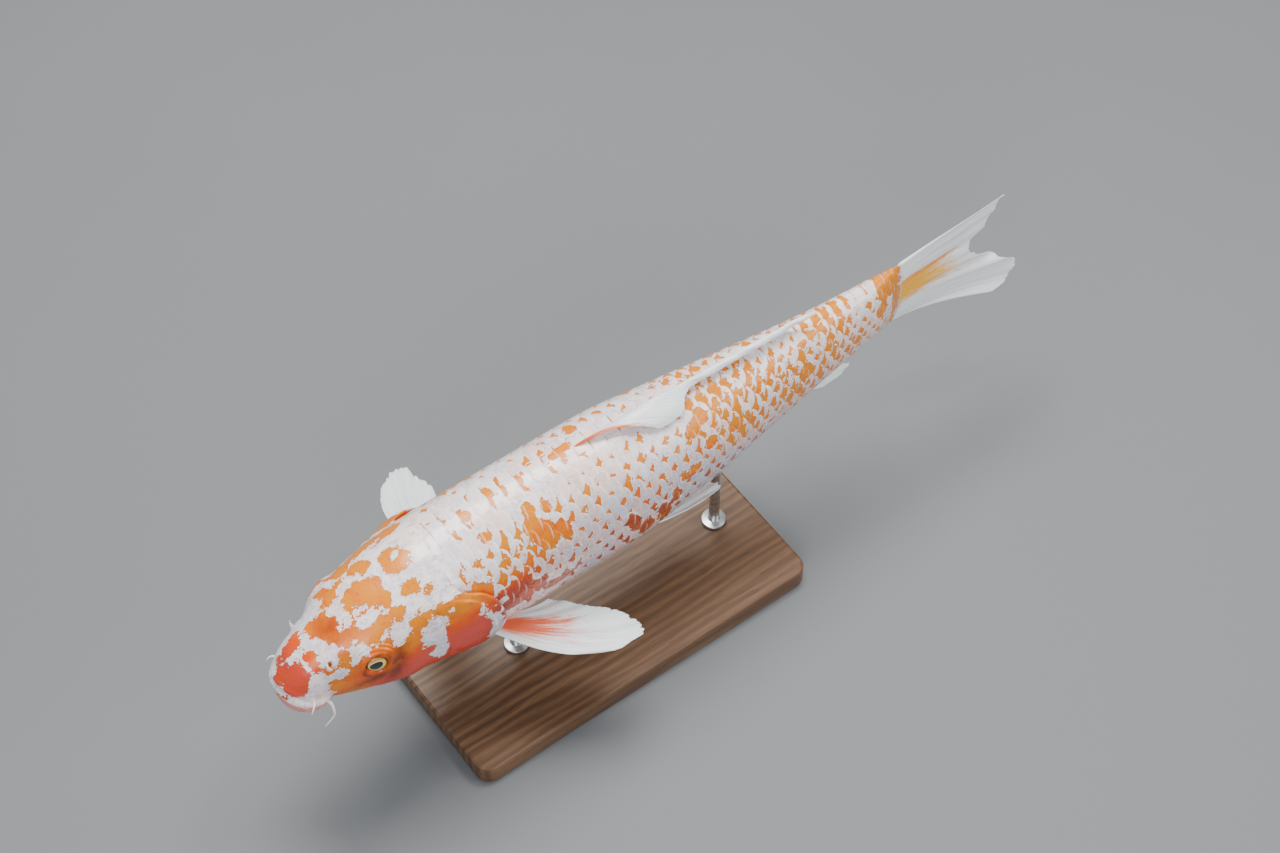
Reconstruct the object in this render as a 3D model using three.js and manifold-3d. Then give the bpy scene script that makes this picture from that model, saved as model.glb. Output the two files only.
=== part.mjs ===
// A koi carp, life size, gliding level: a still model such as a museum shows, held over a flat
// base by two short rods. Millimetres, +Z up. The head points to -X and its left flank faces -Y.
// The origin is the centre of the base's underside.
//
// The fish is shaped in its own straight frame, where `along` runs from the snout to the tail,
// `side` is positive on the right flank and `up` is measured from the body's axis. placed()
// then bends that frame along the swimming midline and lifts it over the base.
import * as THREE from "three";
import { mergeVertices } from "three/addons/utils/BufferGeometryUtils.js";
import Module from "manifold-3d";

const wasm = await Module();
wasm.setup();

// ---------- driving dimensions ----------
const LENGTH = 550; // snout to the tips of the tail fin, along the midline
const HEAD_END = 125; // rear edge of the head, under the gill cover's margin
const STALK_START = 380; // the tail stalk begins behind the dorsal and anal fins
const BODY_END = 454; // where the tail fin's rays begin
const AXIS_HEIGHT = 140; // the body's axis over the floor
const BALANCE = 217; // the place along the fish that stands over the centre of the base
const GAP = 0.3; // clearance between neighbouring pieces

const BASE = { length: 250, width: 128, height: 16, corner: 10, bevel: 2 };
const ROD = { radius: 3.5, foot: 8, footHeight: 3, seated: 8, places: [160, 314] };

// The body's lines, each as [along, distance from the axis]. The curves are read against the
// square root of the distance from the snout, which rounds the nose.
const BACK = [[0, 0], [5, 11], [14, 20], [37, 32], [72, 44], [117, 50.5], [172, 51.5],
  [227, 50], [282, 44], [342, 39], [402, 32.5], [432, 30], [454, 29.5]];
const BELLY = [[0, 0], [5, 12], [14, 20.5], [37, 29], [72, 36.5], [117, 46], [172, 53],
  [227, 55], [282, 49], [342, 36.5], [402, 26.5], [432, 25], [454, 27]];
const FLANK = [[0, 0], [4, 12], [14, 17.5], [26, 20.5], [38, 25], [52, 30.5], [72, 34.5],
  [117, 38], [172, 36.5], [227, 36], [282, 31], [342, 22.5], [402, 14.5], [432, 11], [454, 4.5]];

// ---------- small helpers ----------
const lerp = (a, b, t) => a + (b - a) * t;
const clamp = (v, low, high) => Math.min(high, Math.max(low, v));
const smooth = (low, high, v) => {
  const t = clamp((v - low) / (high - low), 0, 1);
  return t * t * (3 - 2 * t);
};
const degrees = THREE.MathUtils.degToRad;
const evenly = (from, to, count) =>
  Array.from({ length: count + 1 }, (_, i) => lerp(from, to, i / count));

// A smooth line through the given points that never overshoots them.
function line(points, scale = (v) => v) {
  const xs = points.map((p) => scale(p[0]));
  const ys = points.map((p) => p[1]);
  const slopes = xs.slice(1).map((x, i) => (ys[i + 1] - ys[i]) / (x - xs[i]));
  const tangents = xs.map((_, i) => {
    const before = slopes[Math.max(i - 1, 0)];
    const after = slopes[Math.min(i, slopes.length - 1)];
    return before * after <= 0 ? 0 : (2 * before * after) / (before + after);
  });
  return (value) => {
    const x = clamp(scale(value), xs[0], xs.at(-1));
    let i = 0;
    while (i < xs.length - 2 && x > xs[i + 1]) i += 1;
    const span = xs[i + 1] - xs[i];
    const t = (x - xs[i]) / span;
    const early = (1 - t) * (tangents[i] - slopes[i]);
    const late = t * (tangents[i + 1] - slopes[i]);
    return lerp(ys[i], ys[i + 1], t) + t * (1 - t) * (early - late) * span;
  };
}

// ---------- the swimming midline ----------
// The head turns a little to the fish's left, and the tail fin's rays sweep back to that side.
const HEAD_TURN = degrees(3);
const TAIL_TURN = degrees(3.8);
const STEP = 2;
const MIDLINE_END = LENGTH + 20; // it runs on past the tail's tips
const heading = (along) =>
  HEAD_TURN * (1 - smooth(55, 190, along)) + TAIL_TURN * smooth(290, 490, along);

const MIDLINE = [[0, 0]];
for (let along = 0; along < MIDLINE_END; along += STEP) {
  const [x, y] = MIDLINE.at(-1);
  const turn = heading(along + STEP / 2);
  MIDLINE.push([x + STEP * Math.cos(turn), y + STEP * Math.sin(turn)]);
}

function onMidline(along) {
  const at = clamp(along, 0, MIDLINE_END - STEP) / STEP;
  const i = Math.floor(at);
  return [0, 1].map((k) => lerp(MIDLINE[i][k], MIDLINE[i + 1][k], at - i));
}

// A point of the fish's straight frame in the part's frame.
const [balanceX, balanceY] = onMidline(BALANCE);
function placed([along, side, up]) {
  const [x, y] = onMidline(along);
  const turn = heading(along);
  const ahead = Math.min(along, 0);
  return [
    x - balanceX + ahead * Math.cos(turn) - side * Math.sin(turn),
    y - balanceY + ahead * Math.sin(turn) + side * Math.cos(turn),
    AXIS_HEIGHT + up,
  ];
}

// ---------- the body's surface ----------
const back = line(BACK, Math.sqrt);
const belly = line(BELLY, Math.sqrt);
const flank = line(FLANK, Math.sqrt);

// A point of the skin: the angle runs from the ridge of the back (0) to the belly (pi). The
// section is an ellipse at 1 and squarer below that: the head's is full over the brow and in
// the cheeks.
const HEAD_FULLNESS = { over: 0.86, under: 0.9 };
const BODY_FULLNESS = { over: 0.98, under: 0.94 };
function skin(along, angle, lift = 0) {
  const c = Math.cos(angle);
  const s = Math.sin(angle);
  const inHead = 1 - smooth(65, 140, along);
  const half = c > 0 ? "over" : "under";
  const fullness = lerp(BODY_FULLNESS[half], HEAD_FULLNESS[half], inHead);
  const height = c > 0 ? back(along) : belly(along);
  return placed([
    along,
    Math.sign(s) * Math.abs(s) ** fullness * (flank(along) + lift),
    Math.sign(c) * Math.abs(c) ** fullness * (height + lift),
  ]);
}

// ---------- building closed solids ----------
function solidOf(positions, triangles) {
  return new wasm.Manifold(
    new wasm.Mesh({
      numProp: 3,
      vertProperties: new Float32Array(positions.flat()),
      triVerts: new Uint32Array(triangles.flat()),
    }),
  );
}

function solidFrom(geometry) {
  const bare = geometry.clone();
  for (const name of ["normal", "uv"]) bare.deleteAttribute(name);
  const merged = mergeVertices(bare, 1e-3);
  return new wasm.Manifold(
    new wasm.Mesh({
      numProp: 3,
      vertProperties: merged.attributes.position.array,
      triVerts: new Uint32Array(merged.index.array),
    }),
  );
}

// What is left of a solid once the others are taken away, without any chips cut loose.
function cutBy(solid, ...others) {
  const pieces = others.reduce((rest, other) => rest.subtract(other), solid).decompose();
  return pieces.reduce((largest, piece) => (piece.volume() > largest.volume() ? piece : largest));
}

// Rings of equal count joined into a tube, with a fan over each end. Each ring runs clockwise
// when it is looked at from the first ring towards the last.
function lofted(rings) {
  const around = rings[0].length;
  const positions = rings.flat();
  const triangles = [];
  const centre = (ring) => ring.reduce((sum, p) => sum.map((v, k) => v + p[k] / around), [0, 0, 0]);
  const first = positions.push(centre(rings[0])) - 1;
  const last = positions.push(centre(rings.at(-1))) - 1;
  const end = (rings.length - 1) * around;
  for (let i = 0; i < around; i++) {
    const next = (i + 1) % around;
    triangles.push([first, next, i], [last, end + i, end + next]);
    for (let j = 0; j < end; j += around) {
      triangles.push([j + i, j + next, j + i + around]);
      triangles.push([j + next, j + next + around, j + i + around]);
    }
  }
  return solidOf(positions, triangles);
}

// Two stacked grids of points, the first one outermost, closed round their rim.
function slab(outer, inner, uCount, vCount) {
  const across = uCount + 1;
  const under = outer.length;
  const triangles = [];
  const quad = (a, b, c, d) => triangles.push([a, b, c], [a, c, d]);
  for (let j = 0; j < vCount; j++) {
    for (let i = 0; i < uCount; i++) {
      const a = j * across + i;
      quad(a, a + 1, a + 1 + across, a + across);
      quad(under + a, under + a + across, under + a + 1 + across, under + a + 1);
    }
  }
  const rim = [];
  for (let i = 0; i < uCount; i++) rim.push(i);
  for (let j = 0; j < vCount; j++) rim.push(j * across + uCount);
  for (let i = uCount; i > 0; i--) rim.push(vCount * across + i);
  for (let j = vCount; j > 0; j--) rim.push(j * across);
  rim.forEach((a, k) => {
    const b = rim[(k + 1) % rim.length];
    quad(under + a, under + b, b, a);
  });
  const solid = solidOf([...outer, ...inner], triangles);
  return solid.volume() > 0 ? solid : solidOf([...inner, ...outer], triangles);
}

// A fin's blade: at(u, v) is its middle surface in the fish's frame, with u running along the
// root and v out to the edge.
function blade(at, thickness, uCount, vCount) {
  const reach = 1e-3;
  const point = (u, v) => new THREE.Vector3(...at(clamp(u, 0, 1), clamp(v, 0, 1)));
  const outer = [];
  const inner = [];
  for (const v of evenly(0, 1, vCount)) {
    for (const u of evenly(0, 1, uCount)) {
      const alongRoot = point(u + reach, v).sub(point(u - reach, v));
      const alongRay = point(u, v + reach).sub(point(u, v - reach));
      const normal = alongRoot.cross(alongRay).normalize();
      const half = thickness(u, v) / 2;
      outer.push(placed(point(u, v).addScaledVector(normal, half).toArray()));
      inner.push(placed(point(u, v).addScaledVector(normal, -half).toArray()));
    }
  }
  return slab(outer, inner, uCount, vCount);
}

// A roll of changing radius along a curve in the fish's frame.
function roll(points, radius, steps, sides) {
  const curve = new THREE.CatmullRomCurve3(points.map((p) => new THREE.Vector3(...p)));
  const frames = curve.computeFrenetFrames(steps);
  const rings = evenly(0, 1, steps).map((t, j) => {
    const centre = curve.getPointAt(t);
    return evenly(0, 2 * Math.PI, sides).slice(0, sides).map((angle) =>
      placed(centre.clone()
        .addScaledVector(frames.normals[j], Math.cos(angle) * radius(t))
        .addScaledVector(frames.binormals[j], -Math.sin(angle) * radius(t))
        .toArray()));
  });
  const solid = lofted(rings);
  return solid.volume() > 0 ? solid : lofted(rings.map((ring) => ring.reverse()));
}

// ---------- the body as one bulk, and its lengths ----------
const AROUND = 24;
const STATIONS = [
  ...evenly(0.045, 1, 13).map((t) => HEAD_END * t ** 1.75),
  ...evenly(HEAD_END, STALK_START, 15).slice(1),
  ...evenly(STALK_START, BODY_END, 5).slice(1),
];
function bodyLength(from, to, lift = 0) {
  const inside = STATIONS.filter((along) => along > from + 1 && along < to - 1);
  const places = [Math.max(from, STATIONS[0]), ...inside, to];
  return lofted(places.map((along) =>
    evenly(0, -2 * Math.PI, AROUND).slice(0, AROUND).map((angle) => skin(along, angle, lift))));
}
const bulk = bodyLength(0, BODY_END + GAP, GAP);

// ---------- eyes ----------
const EYE = { along: 50, angle: degrees(79), radius: 8.6, proud: 3.6 };
function eyeBall(right, lift = 0) {
  const ball = new THREE.SphereGeometry(EYE.radius + lift, 16, 10);
  ball.translate(...skin(EYE.along, right * EYE.angle, EYE.proud - EYE.radius));
  return solidFrom(ball);
}

// ---------- mouth ----------
// Two soft lips, each a bowed roll from one corner of the mouth round to the other.
const UPPER_LIP = { front: 3, back: 20, half: 18, up: -4.2, drop: 5.4, thick: 4.5 };
const LOWER_LIP = { front: 3.5, back: 20, half: 17, up: -13, drop: -0.2, thick: 4.2 };
function lipRoll(lip, lift = 0) {
  const points = evenly(-Math.PI / 2, Math.PI / 2, 8).map((turn) => {
    const away = 1 - Math.cos(turn);
    return [lerp(lip.front, lip.back, away ** 1.2), Math.sin(turn) * lip.half, lip.up - lip.drop * away];
  });
  const radius = (t) => lip.thick * (0.4 + 0.6 * Math.sin(Math.PI * t) ** 0.6) + lift;
  return roll(points, radius, 14, 8);
}

// ---------- gill covers ----------
// A bony plate over each cheek, round at the rear and proud of the flank there.
const COVER = {
  front: 76,
  corner: 90,
  rear: 130,
  top: degrees(52),
  bottom: degrees(146),
  edge: 0.25,
  rise: 3.6,
  sunk: 2,
  roundness: 0.86,
  columns: 6,
  rows: 7,
};
function gillCover(right, lift = 0) {
  const spread = lift / flank(COVER.rear);
  const point = (u, v, height) => {
    const swell = Math.sqrt(1 - COVER.roundness * (2 * v - 1) ** 2);
    const rear = lerp(COVER.corner, COVER.rear, swell) + lift;
    const angle = lerp(COVER.top - spread, COVER.bottom + spread, v);
    return skin(lerp(COVER.front - lift, rear, u), right * angle, height);
  };
  const layer = (height) => evenly(0, 1, COVER.rows).flatMap((v) =>
    evenly(0, 1, COVER.columns).map((u) => point(u, v, height(u))));
  const outer = layer((u) => lerp(COVER.edge, COVER.rise, smooth(0, 0.6, u)) + lift);
  const inner = layer(() => -COVER.sunk - lift);
  return slab(outer, inner, COVER.columns, COVER.rows);
}

// ---------- colours ----------
const PEARL = { color: 0xf1e9e6, roughness: 0.35, metalness: 0 };
const FIN = { color: 0xe9ebec, roughness: 0.4, metalness: 0 };
const BLUSH = { color: 0xe0795a, roughness: 0.4, metalness: 0 };
const LIP = { color: 0xd0818a, roughness: 0.4, metalness: 0 };
const IRIS = { color: 0xe6c04a, roughness: 0.15, metalness: 0 };
const WOOD = { color: 0x6b4a32, roughness: 0.55, metalness: 0 };
const STEEL = { color: 0xb9bcbf, roughness: 0.3, metalness: 0.9 };

const koi = new THREE.Group();
function add(name, solid, finish) {
  const { vertProperties, triVerts } = solid.getMesh();
  const geometry = new THREE.BufferGeometry();
  geometry.setAttribute("position", new THREE.BufferAttribute(vertProperties, 3));
  geometry.setIndex(new THREE.BufferAttribute(triVerts, 1));
  const mesh = new THREE.Mesh(geometry, new THREE.MeshStandardMaterial(finish));
  mesh.name = name;
  koi.add(mesh);
}

// ---------- assembling the body ----------
const SIDES = [["left", -1], ["right", 1]];
const sockets = [
  ...SIDES.flatMap(([, right]) => [eyeBall(right, GAP), gillCover(right, GAP)]),
  lipRoll(UPPER_LIP, GAP),
  lipRoll(LOWER_LIP, GAP),
];

add("head", cutBy(bodyLength(0, HEAD_END), ...sockets), PEARL);
add("trunk", cutBy(bodyLength(HEAD_END + GAP, STALK_START), ...sockets), PEARL);
add("tail_stalk", bodyLength(STALK_START + GAP, BODY_END), PEARL);
add("lip_upper", cutBy(lipRoll(UPPER_LIP), lipRoll(LOWER_LIP, GAP)), PEARL);
add("lip_lower", lipRoll(LOWER_LIP), LIP);
for (const [name, right] of SIDES) {
  add(`eye_${name}`, eyeBall(right), IRIS);
  add(`gill_cover_${name}`, gillCover(right), BLUSH);
}
const wholeBody = sockets.reduce((sum, socket) => sum.add(socket), bulk);

// ---------- barbels ----------
// A long pair at the corners of the mouth and a short pair on the upper lip.
const BARBELS = {
  long: {
    radius: 1.5,
    path: [[17, 16, -10.5], [20, 21, -12.5], [19.5, 23.5, -20], [12, 22.5, -29]],
  },
  short: {
    radius: 0.95,
    path: [[12, 15, -5], [10.5, 19, -4], [9, 20.5, -5], [7, 21, -7.5]],
  },
};
for (const [kind, barbel] of Object.entries(BARBELS)) {
  for (const [name, right] of SIDES) {
    const points = barbel.path.map(([along, side, up]) => [along, side * right, up]);
    const feeler = roll(points, (t) => barbel.radius * (1 - 0.7 * t), 6, 6);
    add(`barbel_${kind}_${name}`, cutBy(feeler, wholeBody), FIN);
  }
}

// ---------- paired fins ----------
// Rays fan out from a short fleshy root low on the flank. `lead` and `trail` are the angles of
// the first and the last ray from the tail's direction, seen from above; `sweep` bends each ray
// back along its length and `cup` lifts its tip.
function pairedFin(right, fin) {
  const at = (u, v) => {
    const reach = fin.length(u) * v;
    const level = reach * Math.cos(fin.droop);
    const angle = lerp(fin.lead, fin.trail, u) + (fin.sweep * v * v) / 2;
    const root = fin.root.map((value, k) => lerp(value, fin.rootEnd[k], u));
    return [
      root[0] + level * Math.cos(angle),
      right * (root[1] + level * Math.sin(angle)),
      root[2] - reach * Math.sin(fin.droop) + fin.cup * v * v * (1 - 0.4 * u),
    ];
  };
  const thickness = (u, v) => lerp(fin.thick, 0.8, v ** 0.7);
  return cutBy(blade(at, thickness, fin.rays, fin.rings), wholeBody);
}

const PECTORAL = {
  root: [124, 24, -36],
  rootEnd: [134, 19, -41],
  thick: 3,
  rays: 10,
  rings: 7,
  length: line([[0, 75], [0.15, 85], [0.38, 94], [0.5, 86], [0.62, 70], [0.8, 53], [1, 38]]),
};
const PECTORAL_POSE = {
  left: { lead: degrees(48), trail: degrees(12), sweep: degrees(-12), droop: degrees(14), cup: 2 },
  right: { lead: degrees(92), trail: degrees(55), sweep: degrees(-12), droop: degrees(11), cup: 2 },
};
// The pelvic fins are swept back close under the belly.
const PELVIC = {
  root: [238, 15, -47],
  rootEnd: [247, 10, -49],
  thick: 2.4,
  rays: 8,
  rings: 5,
  length: line([[0, 58], [0.2, 66], [0.5, 60], [1, 38]]),
  lead: degrees(16),
  trail: degrees(-3),
  sweep: degrees(-12),
  droop: degrees(2),
  cup: 3,
};
for (const [name, right] of SIDES) {
  add(`fin_pectoral_${name}`, pairedFin(right, { ...PECTORAL, ...PECTORAL_POSE[name] }), FIN);
  add(`fin_pelvic_${name}`, pairedFin(right, PELVIC), FIN);
}

// ---------- fins on the midline ----------
// The dorsal fin is folded: its long front rays lie back and lean over the left flank.
const DORSAL = {
  front: 205,
  rear: 362,
  sunk: 2.5,
  crest: 13.5,
  lean: 11.5,
  fall: 11,
  thick: 1.8,
  rays: 18,
  rings: 5,
};
const dorsalRay = line([[0, 54.5], [0.05, 59], [0.12, 54.5], [0.3, 42.5], [0.65, 33], [1, 24]]);
function dorsalAt(u, v) {
  const root = lerp(DORSAL.front, DORSAL.rear, u);
  const fold = lerp(1, 0.4, smooth(0.03, 0.25, u)) * lerp(1, 0.6, u);
  const along = root + dorsalRay(u) * v;
  const arch = DORSAL.crest * (1 - (1 - v) ** 2) - DORSAL.fall * fold * v * v;
  return [along, -DORSAL.lean * fold * v ** 1.1, back(along) - DORSAL.sunk + arch];
}
const dorsal = blade(dorsalAt, (u, v) => lerp(DORSAL.thick, 0.9, v), DORSAL.rays, DORSAL.rings);
add("fin_dorsal", cutBy(dorsal, wholeBody), FIN);

// The anal fin is short, and trails back under the stalk.
const ANAL = {
  front: 366,
  rear: 398,
  angle: degrees(9),
  sunk: 2,
  lean: 3,
  droop: 1.5,
  thick: 2,
  rays: 7,
  rings: 4,
};
const analRay = line([[0, 36], [0.2, 39], [0.6, 31], [1, 22]]);
function analAt(u, v) {
  const root = lerp(ANAL.front, ANAL.rear, u);
  const reach = analRay(u) * v;
  const down = reach * Math.sin(ANAL.angle) + ANAL.droop * v;
  return [root + reach * Math.cos(ANAL.angle), -ANAL.lean * v * v, ANAL.sunk - belly(root) - down];
}
const anal = blade(analAt, (u, v) => lerp(ANAL.thick, 0.9, v), ANAL.rays, ANAL.rings);
add("fin_anal", cutBy(anal, wholeBody), FIN);

// The tail fin is forked: a narrow pointed upper lobe and a fuller lower one, held half folded.
const TAIL = {
  upward: degrees(3),
  downward: degrees(-12),
  inset: 0.4,
  sway: [3.4, 13],
  thick: 8.4,
  rays: 20,
  rings: 7,
};
const tailRay = line([[0, 88], [0.03, 90], [0.12, 81], [0.3, 67], [0.44, 59], [0.54, 66],
  [0.68, 84], [0.84, 98], [0.94, 93], [1, 78]]);
function tailAt(u, v) {
  const reach = tailRay(u) * v;
  const angle = lerp(TAIL.upward, TAIL.downward, u) * lerp(0.6, 1.1, v);
  const root = lerp(back(BODY_END) - TAIL.inset, TAIL.inset - belly(BODY_END), u);
  const side = -lerp(...TAIL.sway, smooth(0.4, 1, u)) * v ** 1.5;
  return [BODY_END + GAP + reach * Math.cos(angle), side, root + reach * Math.sin(angle)];
}
const tailThickness = (u, v) =>
  lerp(TAIL.thick * lerp(0.3, 1, Math.sin(Math.PI * u)), 0.9, v ** 0.35);
add("fin_tail", blade(tailAt, tailThickness, TAIL.rays, TAIL.rings), FIN);

// ---------- the display stand ----------
const outline = new THREE.Shape();
const [cornerX, cornerY] = [BASE.length / 2 - BASE.corner, BASE.width / 2 - BASE.corner];
const round = BASE.corner - BASE.bevel;
outline.absarc(cornerX, -cornerY, round, -Math.PI / 2, 0);
outline.absarc(cornerX, cornerY, round, 0, Math.PI / 2);
outline.absarc(-cornerX, cornerY, round, Math.PI / 2, Math.PI);
outline.absarc(-cornerX, -cornerY, round, Math.PI, 1.5 * Math.PI);
const plate = new THREE.ExtrudeGeometry(outline, {
  depth: BASE.height - 2 * BASE.bevel,
  bevelThickness: BASE.bevel,
  bevelSize: BASE.bevel,
  bevelSegments: 2,
  curveSegments: 5,
});
plate.translate(0, 0, BASE.bevel);
add("stand_base", solidFrom(plate), WOOD);

ROD.places.forEach((along, i) => {
  const foot = BASE.height + GAP;
  const neck = foot + ROD.footHeight;
  const top = AXIS_HEIGHT - belly(along) + ROD.seated;
  const profile = [
    [0, foot],
    [ROD.foot, foot],
    [ROD.foot, neck],
    [ROD.radius, neck],
    [ROD.radius, top],
    [0, top],
  ];
  const rod = new THREE.LatheGeometry(profile.map(([r, z]) => new THREE.Vector2(r, z)), 16);
  rod.rotateX(Math.PI / 2);
  const [x, y] = placed([along, 0, 0]);
  rod.translate(x, y, 0);
  add(`stand_rod_${["front", "rear"][i]}`, cutBy(solidFrom(rod), wholeBody), STEEL);
});

export default koi;
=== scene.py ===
# A koi carp, life size: a still museum model of the living fish, gliding level, held over a
# wooden base by two short steel rods. The head points to -X and its left flank faces -Y.
import bpy
import math
import numpy as np
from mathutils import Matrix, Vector


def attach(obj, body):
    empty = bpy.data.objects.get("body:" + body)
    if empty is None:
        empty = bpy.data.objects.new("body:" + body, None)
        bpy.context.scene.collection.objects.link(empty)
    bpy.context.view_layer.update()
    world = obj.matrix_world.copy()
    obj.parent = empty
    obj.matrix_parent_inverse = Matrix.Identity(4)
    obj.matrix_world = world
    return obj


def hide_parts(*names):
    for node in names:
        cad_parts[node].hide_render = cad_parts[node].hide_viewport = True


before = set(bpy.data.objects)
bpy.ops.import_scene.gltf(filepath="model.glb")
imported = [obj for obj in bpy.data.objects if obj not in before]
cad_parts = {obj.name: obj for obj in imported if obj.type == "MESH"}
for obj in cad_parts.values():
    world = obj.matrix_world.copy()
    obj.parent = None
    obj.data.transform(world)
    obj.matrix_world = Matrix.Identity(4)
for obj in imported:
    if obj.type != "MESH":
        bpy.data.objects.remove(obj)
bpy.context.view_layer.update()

# ============================================================ studio
# A plain pale floor under four round soft lamps: a wide one and a small one overhead, a pale
# one from the head's side and a low one that lights the shaded flank. The camera looks down on
# the left of the head.
FLOOR_SIZE = 12.0
LOOK_AT = Vector((0.0448, 0.0088, 0.1544))
CAMERA_AWAY = 1.471
CAMERA_AZIMUTH = math.radians(-36.4)
CAMERA_HEIGHT = math.radians(54.8)


def add_node(tree, kind, inputs=(), **settings):
    """A shader node with its settings and its inputs, each a plain value or a Value."""
    node = tree.nodes.new(kind)
    for key, value in settings.items():
        setattr(node, key, value)
    for key, value in dict(inputs).items():
        if isinstance(value, Value):
            tree.links.new(value.socket, node.inputs[key])
        else:
            node.inputs[key].default_value = value
    return node


class Value:
    """What a shader node gives; arithmetic on it adds the nodes that it needs."""

    def __init__(self, node, output=0):
        self.tree = node.id_data
        self.socket = node.outputs[output]

    def maths(self, operation, *others):
        given = enumerate((self, *others))
        return Value(add_node(self.tree, "ShaderNodeMath", given, operation=operation))

    def __add__(self, other):
        return self.maths("ADD", other)

    def __sub__(self, other):
        return self.maths("SUBTRACT", other)

    def __mul__(self, other):
        return self.maths("MULTIPLY", other)

    def ramp(self, low, high, to_low=0.0, to_high=1.0):
        """This value eased from one range to another."""
        given = {"Value": self, "From Min": low, "From Max": high, "To Min": to_low, "To Max": to_high}
        kind = "ShaderNodeMapRange"
        return Value(add_node(self.tree, kind, given, interpolation_type="SMOOTHSTEP"))

    def noise(self, scale, detail=3.0, roughness=0.55, stretch=None):
        """Fractal noise from 0 to 1 at this place, its scale in features per metre."""
        where = self
        if stretch:
            where = Value(add_node(self.tree, "ShaderNodeMapping", {"Vector": self, "Scale": stretch}))
        given = {"Vector": where, "Scale": scale, "Detail": detail, "Roughness": roughness}
        return Value(add_node(self.tree, "ShaderNodeTexNoise", given), "Fac")

    def blend(self, first, second, way="MIX"):
        """Two colours mixed, this value being the share of the second."""
        given = {0: self}
        for index, colour in ((6, first), (7, second)):
            given[index] = colour if isinstance(colour, Value) else (*colour, 1.0)
        return Value(add_node(self.tree, "ShaderNodeMix", given, data_type="RGBA", blend_type=way), 2)


def place_of(tree):
    """The surface's own place, in metres."""
    return Value(add_node(tree, "ShaderNodeTexCoord"), "Object")


def new_material(name, **fixed):
    """A material and its node tree, with the shader's fixed sockets set."""
    material = bpy.data.materials.new(name)
    material.use_nodes = True
    shader = material.node_tree.nodes["Principled BSDF"]
    for key, value in fixed.items():
        shader.inputs[key.replace("_", " ").title().replace("Ior", "IOR")].default_value = value
    return material, material.node_tree


def feed(tree, colour, roughness, coat=None, height=None, strength=0.3, distance=0.0003):
    """Feeds a material's shader with what changes over its surface."""
    given = {"Base Color": colour, "Roughness": roughness, "Coat Weight": coat}
    if height:
        bump = {"Strength": strength, "Distance": distance, "Height": height}
        given["Normal"] = Value(add_node(tree, "ShaderNodeBump", bump))
    for key, value in given.items():
        if value:
            tree.links.new(value.socket, tree.nodes["Principled BSDF"].inputs[key])


bpy.ops.mesh.primitive_plane_add(size=FLOOR_SIZE)
floor = bpy.context.object
floor.name = "floor"
material, tree = new_material("pale_floor", specular_ior_level=0.3)
mottle = place_of(tree).noise(3.0, 4.0)
shade = place_of(tree).noise(400.0, 2.0) * 0.15 + mottle * 0.85
feed(tree, shade.blend((0.165, 0.172, 0.18), (0.185, 0.193, 0.202)), mottle.ramp(0.3, 0.7, 0.55, 0.65))
floor.data.materials.append(material)


def lamp(name, place, aim, size, watts, colour):
    """A round soft lamp turned to a point."""
    light = bpy.data.lights.new(name, "AREA")
    light.shape = "DISK"
    light.size = size
    light.energy = watts
    light.color = colour
    holder = bpy.data.objects.new(name, light)
    holder.location = place
    holder.rotation_euler = (Vector(aim) - Vector(place)).to_track_quat("-Z", "Y").to_euler()
    bpy.context.collection.objects.link(holder)


UNDER_BODY = (0, 0, 0.1)
lamp("overhead", (0.15, 0.45, 1.9), UNDER_BODY, 1.0, 50.0, (1.0, 0.97, 0.93))
lamp("shine", (0.62, -0.12, 1.8), UNDER_BODY, 0.45, 11.0, (1.0, 0.96, 0.92))
lamp("side", (-1.3, -1.5, 1.3), UNDER_BODY, 1.2, 25.0, (0.94, 0.97, 1.0))
lamp("fill", (1.0, -1.2, 0.8), (0.3, 0, 0.14), 0.7, 9.0, (1.0, 0.98, 0.95))
world = bpy.data.worlds.new("soft_room")
world.use_nodes = True
room_light = world.node_tree.nodes["Background"]
room_light.inputs["Color"].default_value = (0.88, 0.94, 1.0, 1.0)
room_light.inputs["Strength"].default_value = 0.46
bpy.context.scene.world = world

lens = bpy.data.cameras.new("camera")
lens.lens = 70.0
lens.sensor_width = 36.0
camera = bpy.data.objects.new("camera", lens)
level = math.cos(CAMERA_HEIGHT)
backwards = Vector((
    math.sin(CAMERA_AZIMUTH) * level,
    -math.cos(CAMERA_AZIMUTH) * level,
    math.sin(CAMERA_HEIGHT),
))
camera.location = LOOK_AT + backwards * CAMERA_AWAY
camera.rotation_euler = (-backwards).to_track_quat("-Z", "Y").to_euler()
bpy.context.collection.objects.link(camera)
bpy.context.scene.camera = camera

# ============================================================ skin
# One skin covers head, gill covers, trunk and tail stalk. It is bare, wet and thick over the
# skull; behind the gill covers it lies under the scales. It is worked in the fish's straight
# frame, [along, side, up] in mm, which is then bent along the swimming midline.
MM = 0.001
LENGTH = 550.0
BODY_END = 454.0
SKIN_END = 466.0
AXIS_HEIGHT = 140.0
BALANCE = 217.0
COAT = 0.9
BACK = [[0, 0], [5, 11], [14, 20], [37, 32], [72, 44], [117, 50.5], [172, 51.5], [227, 50],
        [282, 44], [342, 39], [402, 32.5], [432, 30], [454, 29.5]]
BELLY = [[0, 0], [5, 12], [14, 20.5], [37, 29], [72, 36.5], [117, 46], [172, 53], [227, 55],
         [282, 49], [342, 36.5], [402, 26.5], [432, 25], [454, 27]]
FLANK = [[0, 0], [4, 12], [14, 17.5], [26, 20.5], [38, 25], [52, 30.5], [72, 34.5], [117, 38],
         [172, 36.5], [227, 36], [282, 31], [342, 22.5], [402, 14.5], [432, 11], [454, 4.5]]


def lerp(a, b, t):
    return a + (b - a) * t


def smooth(low, high, value):
    t = np.clip((np.asarray(value, float) - low) / (high - low), 0, 1)
    return t * t * (3 - 2 * t)


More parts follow.
